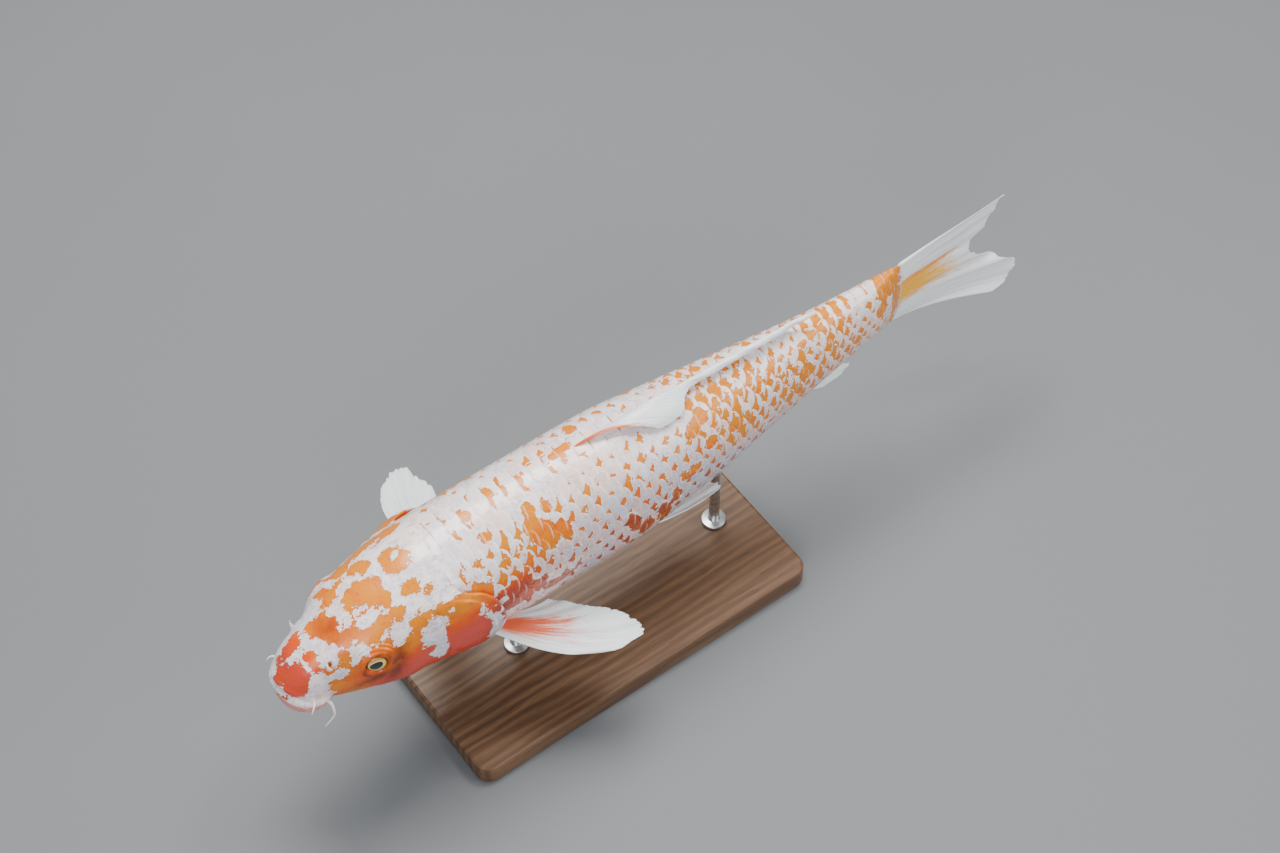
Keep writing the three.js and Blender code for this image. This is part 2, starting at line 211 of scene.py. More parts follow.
def between(value, start, full, hold, end):
    """A share that eases up from start to full and down again from hold to end."""
    return smooth(start, full, value) * (1 - smooth(hold, end, value))


def hump(distance, width):
    """A round swelling: 1 in its middle and near 0 two widths away."""
    return np.exp(-((distance / width) ** 2))


def joined(*columns):
    """Points from their separate coordinates."""
    return np.stack(np.broadcast_arrays(*columns), axis=-1)


def unit(ways):
    """The same directions with a length of 1."""
    return ways / np.maximum(np.linalg.norm(ways, axis=-1, keepdims=True), 1e-9)


def line(points, scale=lambda value: value):
    """A smooth line through the given points that never overshoots them."""
    xs, ys = np.array(points, float).T
    xs = scale(xs)
    slopes = np.diff(ys) / np.diff(xs)
    before = np.concatenate([slopes[:1], slopes])
    after = np.concatenate([slopes, slopes[-1:]])
    level = before * after <= 0
    tangents = np.where(level, 0, 2 * before * after / np.where(level, 1, before + after))

    def read(value):
        x = np.clip(scale(np.asarray(value, float)), xs[0], xs[-1])
        i = np.clip(np.searchsorted(xs, x, side="right") - 1, 0, len(xs) - 2)
        span = xs[i + 1] - xs[i]
        t = (x - xs[i]) / span
        early = (1 - t) * (tangents[i] - slopes[i])
        late = t * (tangents[i + 1] - slopes[i])
        return lerp(ys[i], ys[i + 1], t) + t * (1 - t) * (early - late) * span

    return read


back = line(BACK, np.sqrt)
belly = line(BELLY, np.sqrt)
flank = line(FLANK, np.sqrt)

HEAD_TURN = math.radians(3)
TAIL_TURN = math.radians(3.8)
STEP = 2.0


def heading(along):
    return HEAD_TURN * (1 - smooth(55, 190, along)) + TAIL_TURN * smooth(290, 490, along)


stations = np.arange(0, LENGTH + 20 + STEP, STEP)
turns = heading(stations[:-1] + STEP / 2)
midline = np.cumsum(STEP * np.array([np.cos(turns), np.sin(turns)]), axis=1)
midline = np.concatenate([np.zeros((2, 1)), midline], axis=1)


def on_midline(along):
    return np.array([np.interp(along, stations, row) for row in midline])


midline -= on_midline(BALANCE)[:, None]


def placed(point):
    """Points of the straight frame in the model's own frame, in mm."""
    along, side, up = np.moveaxis(point, -1, 0)
    turn = heading(along)
    ahead = np.minimum(along, 0)
    x, y = on_midline(along)
    return joined(
        x + ahead * np.cos(turn) - side * np.sin(turn),
        y + ahead * np.sin(turn) + side * np.cos(turn),
        AXIS_HEIGHT + up,
    )


def section(along, angle):
    """A point of the body's plain form: the angle runs from the ridge of the back (0) round
    the right flank to the belly (pi), and is negative on the left flank."""
    c, s = np.cos(angle), np.sin(angle)
    in_head = 1 - smooth(65, 140, along)
    fullness = np.where(c > 0, lerp(0.98, 0.86, in_head), lerp(0.94, 0.9, in_head))
    end = 1 - 0.75 * smooth(BODY_END, SKIN_END, along)
    height = np.where(c > 0, back(along), belly(along)) * lerp(1, end, 0.2)
    side = np.sign(s) * np.abs(s) ** fullness * flank(along) * end
    return joined(along, side, np.sign(c) * np.abs(c) ** fullness * height)


def outward(along, angle):
    """The direction off the body's plain form."""
    small, turn = 0.25, 0.01
    ahead = section(along + small, angle) - section(np.maximum(along - small, 0), angle)
    round_it = section(along, angle + turn) - section(along, angle - turn)
    normal = np.cross(ahead, round_it)
    size = np.linalg.norm(normal, axis=-1, keepdims=True)
    forward = np.broadcast_to([-1.0, 0.0, 0.0], normal.shape)
    return np.where(size > 1e-6, normal / np.maximum(size, 1e-6), forward)


# The girth is the way round the body from the ridge, in mm, negative on the left flank.
GIRTH_STEP = 2.0
GIRTH_STATIONS = np.arange(0, 471, GIRTH_STEP)
GIRTH_ANGLES = np.radians(np.arange(0, 181, 1.5))
rings = section(*np.meshgrid(GIRTH_STATIONS, GIRTH_ANGLES, indexing="ij"))
arcs = np.linalg.norm(np.diff(rings, axis=1), axis=-1)
GIRTHS = np.concatenate([np.zeros((len(GIRTH_STATIONS), 1)), np.cumsum(arcs, axis=1)], axis=1)


def at_station(along):
    """The ring before a place, and how far it is to the next ring."""
    j = np.clip(along / GIRTH_STEP, 0, len(GIRTH_STATIONS) - 1.001)
    return j.astype(int), j % 1


def girth_of(along, angle):
    """The girth at an angle from -pi to pi."""
    j, past = at_station(along)
    turned_by = np.clip(np.abs(angle) / GIRTH_ANGLES[1], 0, len(GIRTH_ANGLES) - 1.001)
    k = turned_by.astype(int)
    fore = lerp(GIRTHS[j, k], GIRTHS[j, k + 1], turned_by - k)
    aft = lerp(GIRTHS[j + 1, k], GIRTHS[j + 1, k + 1], turned_by - k)
    return np.sign(angle) * lerp(fore, aft, past)


def angle_of(along, girth):
    """The angle at a girth; it goes on past the ridge or the belly to the other flank."""
    j, past = at_station(along)
    whole = lerp(GIRTHS[j, -1], GIRTHS[j + 1, -1], past)
    away = np.abs(girth)
    folded = np.where(away > whole, 2 * whole - away, away)
    found = np.empty_like(folded)
    for row in np.unique(j):
        here = j == row
        fore, aft = (np.interp(folded[here], GIRTHS[k], GIRTH_ANGLES) for k in (row, row + 1))
        found[here] = lerp(fore, aft, past[here])
    return np.sign(girth) * np.where(away > whole, 2 * np.pi - found, found)


# The gill cover's free rear edge, as the place along the fish at each angle. Over the nape and
# under the throat it is where the bare head ends.
GILL_EDGE = line([[0, 100], [30, 100], [44, 101.5], [52, 105], [64, 118.7], [76, 125.4],
                  [99, 130], [122, 125.4], [134, 118.7], [146, 104], [158, 92], [180, 86]])
COVER_FRONT = 76.0
COVER_RISE = 3.5


def gill_edge(angle):
    return GILL_EDGE(np.degrees(np.abs(angle)))


def cover_share(angle):
    """How much of the gill cover's full rise there is at this angle."""
    return between(np.degrees(np.abs(angle)), 44, 62, 132, 156)


# The eye stands on the side of the head; its plane is the plain form's at that place.
EYE_ALONG = np.array(48.4)
EYE_ANGLE = np.radians(74.6)
EYE_SOCKET = 6.1
SOCKET_DEPTH = 7.0
eye_place = section(EYE_ALONG, EYE_ANGLE)
eye_axis = outward(EYE_ALONG, EYE_ANGLE)
eye_aft = unit([1.0, 0.0, 0.0] - eye_axis[0] * eye_axis)
eye_up = np.cross(eye_axis, eye_aft)
eye_up *= np.sign(eye_up[2])

# The lips are two bowed rolls, from one corner of the mouth round to the other.
UPPER_LIP = {"front": 3, "back": 20, "half": 18, "up": -4.2, "drop": 5.4, "thick": 4.5}
LOWER_LIP = {"front": 3.5, "back": 20, "half": 17, "up": -13, "drop": -0.2, "thick": 4.2}
LIP_POINTS = 81


def lip_roll(lip):
    """The lip's middle line and its radius there."""
    share = np.linspace(0, 1, LIP_POINTS)
    turn = (share - 0.5) * np.pi
    away = 1 - np.cos(turn)
    along = lerp(lip["front"], lip["back"], away**1.2)
    middle = joined(along, np.sin(turn) * lip["half"], lip["up"] - lip["drop"] * away)
    return middle, lip["thick"] * (0.4 + 0.6 * np.sin(np.pi * share).clip(0) ** 0.6)


def off_roll(point, roll):
    """The distance of points from a lip's surface, negative inside it."""
    middle, radius = roll
    away = np.linalg.norm(point[..., None, :] - middle, axis=-1)
    return (away - radius).min(axis=-1)


# Swellings and hollows of the head, each as [height, along, half-length, degrees from the
# ridge, half-width in degrees]: cheek, brow, forehead, snout and nape.
HEAD_FORMS = [
    [1.3, 66, 13, 112, 20],
    [0.9, 46, 12, 46, 11],
    [-1.0, 31, 7, 0, 26],
    [0.9, 13, 6, 0, 40],
    [0.6, 88, 9, 0, 24],
]
NOSTRIL_GIRTH = 19.5


def relief(along, angle, point):
    """How far the skin stands off the plain form, in mm."""
    degrees = np.degrees(np.abs(angle))
    before = gill_edge(angle) - along
    # the eye's swelling, its rim, the folds over it and the socket
    mirrored = joined(point[..., 0], np.abs(point[..., 1]), point[..., 2])
    apart = mirrored - eye_place
    aft, up = apart @ eye_aft, apart @ eye_up
    far = np.hypot(aft, up)
    near_eye = (apart @ eye_axis) > -14
    above = smooth(-2, 7, up)
    swell = 1.7 * hump(far, 13) + above * 1.5 * hump(far - 9.5, 4.0) + 0.8 * hump(far - 7.6, 1.4)
    folds = 0.28 * np.sin(2 * np.pi * (far - 8.6) / 2.2) * between(far, 7.9, 8.9, 13, 16.5)
    socket = SOCKET_DEPTH * (1 - smooth(4.7, EYE_SOCKET + 0.5, far))
    lift = np.where(near_eye, swell + folds * smooth(-5, 3, up - 0.3 * aft) - socket, 0.0)
    # the gill cover, its soft margin and the groove in front of it
    share = cover_share(angle)
    run = np.clip((along - COVER_FRONT) / (gill_edge(angle) - COVER_FRONT), 0, 1)
    plate = COVER_RISE * smooth(0, 0.85, run) - 0.75 * (1 - smooth(6.0, 8.5, before))
    lift += share * np.where(before > -1, plate, 0.0)
    fore_plate = 86 + 7 * np.sin(np.radians(np.clip(degrees - 50, 0, 90) * 2))
    lift -= 0.7 * share * hump(along - fore_plate, 1.3)
    lift += 0.5 * share * hump(along - fore_plate + 4.5, 3.0)
    # the plain forms, and the groove under the cheek
    for height, middle, length, turn, width in HEAD_FORMS:
        lift += height * hump(along - middle, length) * hump(degrees - turn, width)
    lift -= 0.8 * hump(along - 40 - (degrees - 100) * 0.25, 2.4) * hump(degrees - 112, 16)
    # ribs that fan over the gill cover, and the folded skin under the throat
    fan = np.arctan2(degrees - 78, (along - 70) * 1.6)
    ribs = 0.13 * np.sin(30 * fan + 2 * np.sin(7 * fan)) * share
    ribs *= smooth(0.1, 0.35, run) * smooth(7, 11, before)
    lift += np.where(before > 0, ribs, 0.0)
    from_fold = degrees - 179 + 0.62 * (along - 52)
    creases = 1.3 * hump(from_fold, 3.0) - 0.6 * hump(from_fold + 7, 4.0) + 0.5 * hump(from_fold + 15, 2.5)
    lift -= creases * smooth(52, 62, along) * smooth(-2, 6, before)
    # the cheek plates under and behind the eye
    plates = hump(along - 62 - 0.1 * (degrees - 95), 1.6) * hump(degrees - 98, 16)
    lift -= 0.7 * plates + 0.5 * hump(degrees - 108 + 0.3 * (along - 50), 3.0) * hump(along - 50, 12)
    # nostrils, a pit with a raised rim on each side
    pit = np.hypot(along - 25.5, girth_of(along, np.abs(angle)) - NOSTRIL_GIRTH)
    return lift + 0.8 * hump(pit - 2.6, 1.0) - 2.2 * hump(pit, 1.5)


AROUND = 264
HEAD_FRONT = np.arange(0, 26, 0.45)
HEAD_REST = np.arange(26, 150, 0.8)
FOLD_ALONG = [-1.2, -0.5, 0.1, 0.45, 0.3, -0.5, -2.0, -4.0, -4.8, -4.2, -2.6, -1.0]
FOLD_START = 1.2
FOLD_LIFT = [0.0, -0.12, -0.4, -0.8, -1.15, -1.4, -1.55, -1.8, -2.4, -3.3, -3.9, -4.2]
BODY_COLUMNS = 132

round_angles = np.linspace(-np.pi, np.pi, AROUND + 1)
edge = gill_edge(round_angles)
HEAD_TABLE = 130.0
arc_table = np.linspace(0, HEAD_TABLE, 400)
profile = joined(arc_table, (back(arc_table) + belly(arc_table) + flank(arc_table)) / 3)
arc_length = np.concatenate([[0], np.cumsum(np.linalg.norm(np.diff(profile, axis=0), axis=1))])
reaches = np.concatenate([HEAD_FRONT, HEAD_REST])
shares = np.interp(reaches[reaches < arc_length[-1]], arc_length, arc_table) / HEAD_TABLE
head_rows = [share * (edge - 1.6) for share in shares]

cover = cover_share(round_angles)
fold_rows = [lerp(edge - FOLD_START + 0.4 * i, edge + x, cover) for i, x in enumerate(FOLD_ALONG)]
fold_drops = [lerp(0.0, drop, cover) for drop in FOLD_LIFT]
body_start = fold_rows[-1] + 0.8
body_rows = [lerp(body_start, SKIN_END, t) for t in np.linspace(0, 1, BODY_COLUMNS)]

rows_along = np.array(head_rows + fold_rows + body_rows)
in_head = np.zeros(len(rows_along), bool)
in_head[: len(head_rows) + len(fold_rows)] = True
angles = np.broadcast_to(round_angles, rows_along.shape)
plain = section(rows_along, angles)
off = outward(rows_along, angles)
lift = relief(rows_along, angles, plain)
fold_slice = slice(len(head_rows), len(head_rows) + len(fold_rows))
fold_along = np.broadcast_to(edge - FOLD_START, (len(fold_rows), AROUND + 1))
fold_angles = angles[fold_slice]
fold_base = relief(fold_along, fold_angles, section(fold_along, fold_angles))
lift[fold_slice] = lerp(lift[fold_slice], fold_base, cover) + np.array(fold_drops)
behind = rows_along[~in_head] - edge
lift[~in_head] = -COAT * lerp(smooth(-2, 13, behind), 1, cover)
skin_points = plain + off * lift[..., None]

# the lips swell out of the snout
LIP_REACH = 44
PUSH_ROUNDS = 8
SOFTEN_ROUNDS = 2
front = rows_along.max(axis=1) < LIP_REACH
upper, lower = lip_roll(UPPER_LIP), lip_roll(LOWER_LIP)
push = np.zeros(rows_along[front].shape)
start_points = skin_points[front]
for _ in range(PUSH_ROUNDS):
    there = start_points + off[front] * push[..., None]
    push += np.maximum(-np.minimum(off_roll(there, upper), off_roll(there, lower)), 0)
for _ in range(SOFTEN_ROUNDS):
    wide = np.concatenate([push[:, -2:-1], push, push[:, 1:2]], axis=1)
    push = (wide[:, :-2] + 2 * push + wide[:, 2:]) / 4
    push[1:-1] = (push[:-2] + 2 * push[1:-1] + push[2:]) / 4
there = start_points + off[front] * push[..., None]
to_upper, to_lower = off_roll(there, upper), off_roll(there, lower)
slit = hump(to_upper - to_lower, 0.9) * (np.minimum(to_upper, to_lower) < 2.0)
turn_round = np.arctan2(there[..., 1], 27 - there[..., 0])
creases = np.sin(52 * turn_round + 1.6 * np.sin(9 * turn_round)) + 0.5 * np.sin(87 * turn_round + 1)
creases = 0.11 * creases * smooth(0.4, 2.0, push)
over_lip = np.abs(angles[front]) < np.pi / 2
fold_over = np.where(over_lip, 0.9 * hump(to_upper - 1.1, 0.75) - 0.7 * hump(to_upper - 3.6, 1.9), 0.0)
under_lip = np.where(over_lip, 0.0, 0.7 * hump(to_lower - 1.2, 0.9))
sunk = 1.6 * slit * smooth(0.3, 2.0, push) + fold_over + under_lip - creases
skin_points[front] = there - off[front] * sunk[..., None]
lip_share = np.zeros(rows_along.shape)
lip_share[front] = smooth(-0.3, 0.5, to_upper - to_lower) * smooth(0.1, 1.0, push)
# painted shade: the seam where the lips meet is marked, to be coloured dark
mouth_seam_shade = np.zeros(rows_along.shape)
mouth_seam_shade[front] = slit * smooth(0.3, 1.5, push)


def give_maps(mesh, maps, fields):
    """UV maps and fields, each given point by point."""
    corners = np.empty(len(mesh.loops), int)
    mesh.loops.foreach_get("vertex_index", corners)
    for title, values in maps.items():
        mesh.uv_layers.new(name=title).uv.foreach_set("vector", values.reshape(-1, 2)[corners].ravel())
    for title, values in fields.items():
        mesh.attributes.new(title, "FLOAT", "POINT").data.foreach_set("value", values.ravel())


def close_up(piece, material, sharp, weld=True):
    """Turns the faces out, smooths them but for edges past the sharp angle, and hangs the piece under the
    root body.
    """
    bpy.ops.object.mode_set(mode="EDIT")
    bpy.ops.mesh.select_all(action="SELECT")
    if weld:
        bpy.ops.mesh.remove_doubles(threshold=2e-6)
    bpy.ops.mesh.normals_make_consistent(inside=False)
    bpy.ops.object.mode_set(mode="OBJECT")
    bpy.ops.object.shade_smooth()
    if sharp:
        bpy.ops.object.shade_smooth_by_angle(angle=math.radians(sharp))
    piece.data.materials.append(material)
    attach(piece, "root")


def sheet(name, points, material, maps, fields=None, sharp=None):
    """A grid laid on rows of points, in mm, and closed where its edges meet."""
    rows, columns = points.shape[:2]
    bpy.ops.mesh.primitive_grid_add(x_subdivisions=columns - 1, y_subdivisions=rows - 1)
    piece = bpy.context.object
    piece.name = name
    piece.data.name = name
    piece.data.vertices.foreach_set("co", (points * MM).ravel())
    piece.data.uv_layers.remove(piece.data.uv_layers[0])
    give_maps(piece.data, maps, fields or {})
    close_up(piece, material, sharp)
    return piece


# The markings, each patch as [along, girth, half-length, half-width, turn in degrees], with the
# girth negative on the left. Orange lies over pearl, and pale patches lie over the orange.
ORANGE = [
    [8, -9, 6.5, 11, 18], [5, 0, 5, 5, 0], [14, 6, 10, 5, 8], [19, -11, 3.4, 6, 0], [25, -23, 2.4, 4, 10],
    [33, -25, 4, 7, 20], [35, -2, 7.5, 8, -25], [42, -11, 8, 6, -40], [53, -21, 11, 7, -22],
    [66, -25, 8, 5.5, -10], [60, -3, 13, 10, 12], [66, -12, 6, 9, 0], [51, 12, 10, 5, 10],
    [66, 11, 8, 7, 0], [60, 24, 8, 8, 0], [84, 25, 24, 7, -3], [45, 18, 4, 6, 0], [85, 0, 8.5, 9.5, 0],
    [82, -18, 5.5, 4, -15], [92, -25, 5, 3, -10], [47, -43, 18, 14, -10], [32, -46, 8, 17, 25],
    [66, -47, 16, 18, 0], [56, -70, 34, 18, 0], [88, -36, 17, 7, 3], [101, -39, 10, 5, 10],
    [106, -60, 17, 20, 0], [98, -82, 26, 18, 0], [117, -50, 9, 10, 30],
    [139, -61, 15, 6.5, -5], [168, -38, 8, 12, 14], [160, -28, 5, 5.5, 0], [164, -20, 4.2, 6, 0],
    [174, -23, 3, 5, 10], [180, -42, 4.5, 9, 18], [133, -19, 3, 4, 30], [200, 2, 7.5, 3.4, 10],
    [214, 15, 4.5, 6, 0], [278, -26, 8, 4, 25], [286, -20, 5, 6, 30], [287, -40, 6, 4.5, 0],
    [270, -54, 9, 4, 18], [226, -70, 4.5, 12, 12], [236, -84, 6, 9, 0], [249, -80, 5.5, 13, 8],
    [258, -68, 4, 8, 10], [307, -38, 6, 5, 0], [366, -32, 6, 7, 0], [440, -8, 8, 11, 0],
    [435, -24, 6, 6, 0], [452, 0, 6, 60, 0], [438, 9, 7, 8, 0],
    [34, -1, 10, 7, -50], [40, -12, 9, 6, -35], [146, -72, 18, 8, 4], [171, -82, 13, 5, 3],
    [118, -72, 14, 9, 0],
    [48, 44, 16, 14, 0], [70, 50, 18, 14, 0], [98, 50, 20, 16, 10], [104, 74, 18, 16, 0],
    [60, 74, 26, 12, 0], [148, 40, 9, 11, -10], [232, 52, 8, 13, 10], [300, 36, 10, 8, 0],
    [186, 66, 7, 8, 20], [344, 30, 7, 8, 0], [128, 62, 9, 7, 0], [260, 28, 6, 6, 30],
]
PALE = [
    [84, -52, 8, 11, -10], [86, -68, 4.5, 12, 0], [66, -35, 5.5, 8, 15], [52, -8.5, 5.5, 3, -10],
    [55, -15.5, 8, 3, -6], [46, -8, 5, 3, 20], [45, 3, 5, 5.5, -20], [55, 8.5, 9, 2.2, 5],
    [86, 4, 3.2, 2.4, 0], [99, -34.5, 13, 4.0, -12], [84, -29, 9, 2.2, -5], [122, -80, 4.5, 15, 0],
    [118, -63, 2, 6, 20], [122, 72, 5, 16, 0], [84, 62, 6, 15, 10], [160, -58, 7, 5, 0],
    [130, -65, 4, 3, 0], [146, -56, 5, 2.5, 10], [48, -29, 10, 1.6, -12], [31, -32, 3, 4, 60],
    [76, 20, 9, 3, 0], [57, 33, 5, 6, 0],
]


def patch_field(along, girth, patches):
    """How far inside the nearest patch a place lies, in mm, negative outside."""
    field = np.full(np.shape(along), -6.0)
    for middle, round_it, length, width, turn in patches:
        turn = math.radians(turn)
        x, y = along - middle, girth - round_it
        ahead = x * math.cos(turn) + y * math.sin(turn)
        across = y * math.cos(turn) - x * math.sin(turn)
        inside = (1 - np.hypot(ahead / length, across / width)) * min(length, width)
        field = np.maximum(field, inside)
    return field


def orange_field(along, girth):
    pale = patch_field(along, girth, PALE)
    return np.clip(np.minimum(patch_field(along, girth, ORANGE), -pale), -6, 6)


def most(*shares):
    """The largest of several shares, kept from 0 to 1."""
    return np.clip(np.maximum.reduce(shares), 0, 1)


def red_share(along, girth):
    """The orange runs from yellow (0) on the nape, through orange on the crown and back, to
    red (1) on the snout, the cheeks, the gill covers and low on the flanks."""
    away = np.abs(girth)
    # painted light: the hue turns redder away from the ridge, paler yellow where the back is lit and red
    # where the flanks lie in shade
    hue = 0.11 - 0.05 * smooth(70, 110, along) + 0.14 * smooth(20, 50, away)
    hue -= 0.2 * hump(along - 86, 15) * (1 - smooth(38, 52, away))
    hue -= 0.1 * smooth(240, 290, along) + 0.12 * smooth(395, 440, along)
    hue -= 0.15 * hump(along - 138, 20) * hump(away - 36, 14)
    hue += 0.22 * hump(along - 36, 9) * hump(girth + 3, 14)
    snout = 0.85 * (1 - smooth(14, 28, along))
    cheek = smooth(42, 66, away) * smooth(30, 56, along) * (1 - 0.5 * smooth(130, 170, along))
    cheek *= 1 - 0.55 * smooth(180, 300, along)
    round_eye = 0.5 * hump(along - 46, 16) * hump(away - 44, 16)
    return most(hue, snout, cheek, round_eye)


def painted_shade_and_brown_share(along, girth):
    """Painted shade darkens the orange in the folds behind and below the eye, round the socket and low on
    the flanks; on the brow the darkening is the orange's own brown.
    """
    away = np.abs(girth)
    behind_eye = 1.2 * hump(along - 60 + 0.2 * (away - 50), 7) * hump(away - 54, 15)
    under_eye = hump(along - 47, 15) * hump(away - 54, 6)
    ring = 0.85 * hump(np.hypot(along - EYE_ALONG, away - 42.5) - 7.4, 1.3)
    brow = 0.5 * hump(along - 35, 9) * hump(girth + 3, 10)
    brow += 0.35 * hump(along - 98, 9) * hump(away - 40, 5)
    low = 0.7 * smooth(50, 68, away) * smooth(112, 126, along)
    return most(behind_eye, under_eye, ring, low, brow)


def dull_and_painted_shade_share(along, girth):
    """Pearl turns from white on the back to lilac grey low on the flanks and greyer on the snout and
    cheeks: partly its own tone, partly painted shade on the lower surfaces.
    """
    away = np.abs(girth)
    body = smooth(14, 60, away) * smooth(100, 170, along)
    snout = 0.55 * between(along, 6, 24, 26, 60)
    return most(body, snout + 0.55 * smooth(34, 62, away) * smooth(20, 40, along))


def net_share(along, girth):
    """Where the orange flecks join into a net: over the rear half and behind the gill."""
    away = np.abs(girth)
    net = between(along, 255, 296, 398, 428) * (0.5 + 0.5 * smooth(5, 13, away))
    net *= 1 - 0.6 * smooth(42, 58, away)
    shoulder = 1.1 * hump(along - 141, 26) * hump(away - 47, 22)
    low = 0.45 * between(along, 125, 150, 250, 290) * hump(away - 74, 16)
    return most(net, shoulder, low)


def fleck_share(along, girth):
    """How many of the scales carry orange at their base, from none to all."""
    away = np.abs(girth)
    rear = between(along, 255, 296, 402, 430) * smooth(4, 10, away)
    middle = smooth(178, 200, along) * smooth(9, 20, away) * (1 - 0.2 * smooth(60, 85, away))
    shoulder = 1.05 * between(along, 108, 124, 185, 210) * smooth(17, 30, away)
    ridge = 0.22 * smooth(135, 190, along) + 0.6 * between(along, 250, 300, 402, 430)
    root = 0.85 * smooth(396, 425, along) * smooth(2, 9, away)
    return most(rear, middle, shoulder, ridge, root)


def marking_fields(along, girth):
    """What the markings' colours need at each point."""
    return {
        "orange": orange_field(along, girth),
        "red": red_share(along, girth),
        "dull": dull_and_painted_shade_share(along, girth),
        "deep": painted_shade_and_brown_share(along, girth),
    }


# Colour of the markings, for skin and scales alike: ragged orange over pearl, with a thin
# bright flaking edge.
markings = bpy.data.node_groups.new("koi_markings", "ShaderNodeTree")
SOCKETS = {
    "INPUT": {"Place": "Vector", "Field": "Float", "Red": "Float", "Dull": "Float", "Deep": "Float",
              "Rag": "Float"},
    "OUTPUT": {"Colour": "Color", "Orange": "Float", "Height": "Float"},
}
for way, sockets in SOCKETS.items():
    for title, kind in sockets.items():
        markings.interface.new_socket(title, in_out=way, socket_type=f"NodeSocket{kind}")
source = add_node(markings, "NodeGroupInput")
place, inside, redness, dullness_and_painted_shade, painted_shade_and_brown_amount, rag_share = (Value(source, title) for title in SOCKETS["INPUT"])
rag = place.noise(150.0, 6.0, 0.68, stretch=(0.75, 1.0, 1.0))
crumbs = place.noise(720.0, 3.0, 0.6)
blotch = place.noise(95.0, 4.0, 0.6)
patchy = place.noise(190.0, 4.0, 0.65)
ragged = (rag - 0.5) * 15.0 + (crumbs - 0.5) * 4.0
field = ragged * rag_share + inside
orange = field.ramp(-0.22, 0.3)
rim = field.ramp(-1.1, -0.25) * field.ramp(0.3, -0.1)
# the orange, from yellow to red, darkened by painted shade in the folds round the eye and low on the flank
# and by its own brown on the brow, darker at its border, and freckled
hue = (blotch - 0.5) * 0.9 + redness
hot = hue.ramp(0.0, 0.34).blend((0.75, 0.235, 0.0), (0.75, 0.13, 0.0))
hot = hue.ramp(0.3, 0.62).blend(hot, (0.70, 0.068, 0.0))
hot = hue.ramp(0.6, 0.98).blend(hot, (0.61, 0.052, 0.036))
# painted shade: the orange sinks towards black in the eye's folds and low on the flank; on the brow this is
# its own brown
hot = (painted_shade_and_brown_amount * blotch.ramp(0.3, 0.6, 0.55, 1.0)).blend(hot, (0.15, 0.013, 0.001))
border = field.ramp(1.3, 0.1) * crumbs.ramp(0.35, 0.6, 0.15, 0.7)
hot = border.blend(hot, (0.40, 0.055, 0.006))
hot = place.noise(1500.0, 2.0, 0.5).ramp(0.52, 0.85, 0.0, 0.25).blend(hot, (0.86, 0.36, 0.05))
dark_spots = crumbs.ramp(0.50, 0.72) * patchy.ramp(0.42, 0.62, 0.1, 0.65)
hot = dark_spots.blend(hot, (0.55, 0.06, 0.002))
# the pearl, warm and cool in clouds, greyer low on the flanks and cheeks (partly its own tone, partly
# painted shade), with lilac and fine dark cracks
cloud = place.noise(60.0, 5.0, 0.65)
crackle = place.noise(260.0, 4.0, 0.7)
drift = place.noise(26.0, 3.0, 0.6)
bright = cloud.ramp(0.35, 0.65).blend((0.98, 0.91, 0.87), (0.91, 0.88, 0.94))
bright = drift.ramp(0.42, 0.60, 0.1, 0.7).blend(bright, (0.96, 0.74, 0.66))
greyer = drift.ramp(0.58, 0.42).blend((0.76, 0.52, 0.48), (0.50, 0.53, 0.66))
# the grey here is partly painted shade on the lower flanks and cheeks
pearl = (dullness_and_painted_shade * rag.ramp(0.3, 0.6, 0.55, 1.0)).blend(bright, greyer)
pearl = (crackle.ramp(0.50, 0.62, 0.0, 0.7) * rag_share).blend(pearl, (0.46, 0.47, 0.64))
crack = (crackle - 0.5).maths("ABSOLUTE").ramp(0.025, 0.004) * cloud.ramp(0.46, 0.58, 0.0, 0.7)
pearl = crack.blend(pearl, (0.33, 0.20, 0.22))
pearl = rim.blend(pearl, (0.97, 0.93, 0.92))
given = {"Colour": orange.blend(pearl, hot), "Orange": orange, "Height": rim * 0.7 + rag * 0.35}
add_node(markings, "NodeGroupOutput", given)


def field_of(tree, title):
    """A field that the mesh carries on its points."""
    return Value(add_node(tree, "ShaderNodeAttribute", attribute_name=title), "Fac")


def marked(tree, inside, rag_share):
    """The markings' colour, orange share and height, from the piece's own fields."""
    given = {"Place": place_of(tree), "Field": inside, "Rag": rag_share}
    for title in ("Red", "Dull", "Deep"):
        given[title] = field_of(tree, title.lower())
    node = add_node(tree, "ShaderNodeGroup", given, node_tree=markings)
    return [Value(node, title) for title in SOCKETS["OUTPUT"]]


WET = {"specular_ior_level": 0.3, "subsurface_weight": 0.06, "subsurface_scale": 0.0015,
       "coat_roughness": 0.16}
skin_material, tree = new_material("wet_skin", **WET)
colour, orange, height = marked(tree, field_of(tree, "orange"), 1.0)
place = place_of(tree)
lip_colour = place.noise(420.0, 4.0, 0.6).ramp(0.35, 0.65).blend((0.66, 0.20, 0.17), (0.78, 0.32, 0.28))
colour = field_of(tree, "lip").blend(colour, lip_colour)
# painted shade: the seam between the lips is coloured near-black red
colour = field_of(tree, "mouth").blend(colour, (0.16, 0.035, 0.04))
pores = place.noise(1100.0, 3.0)
gloss = pores.ramp(0.2, 0.8, 0.75, 0.5) * orange.ramp(0.0, 1.0, 1.0, 0.4)
height = place.noise(380.0, 5.0, 0.6) * 0.6 + height + pores * 0.2
feed(tree, colour, pores.ramp(0.2, 0.8, 0.24, 0.38), gloss, height, 0.55, 0.0006)

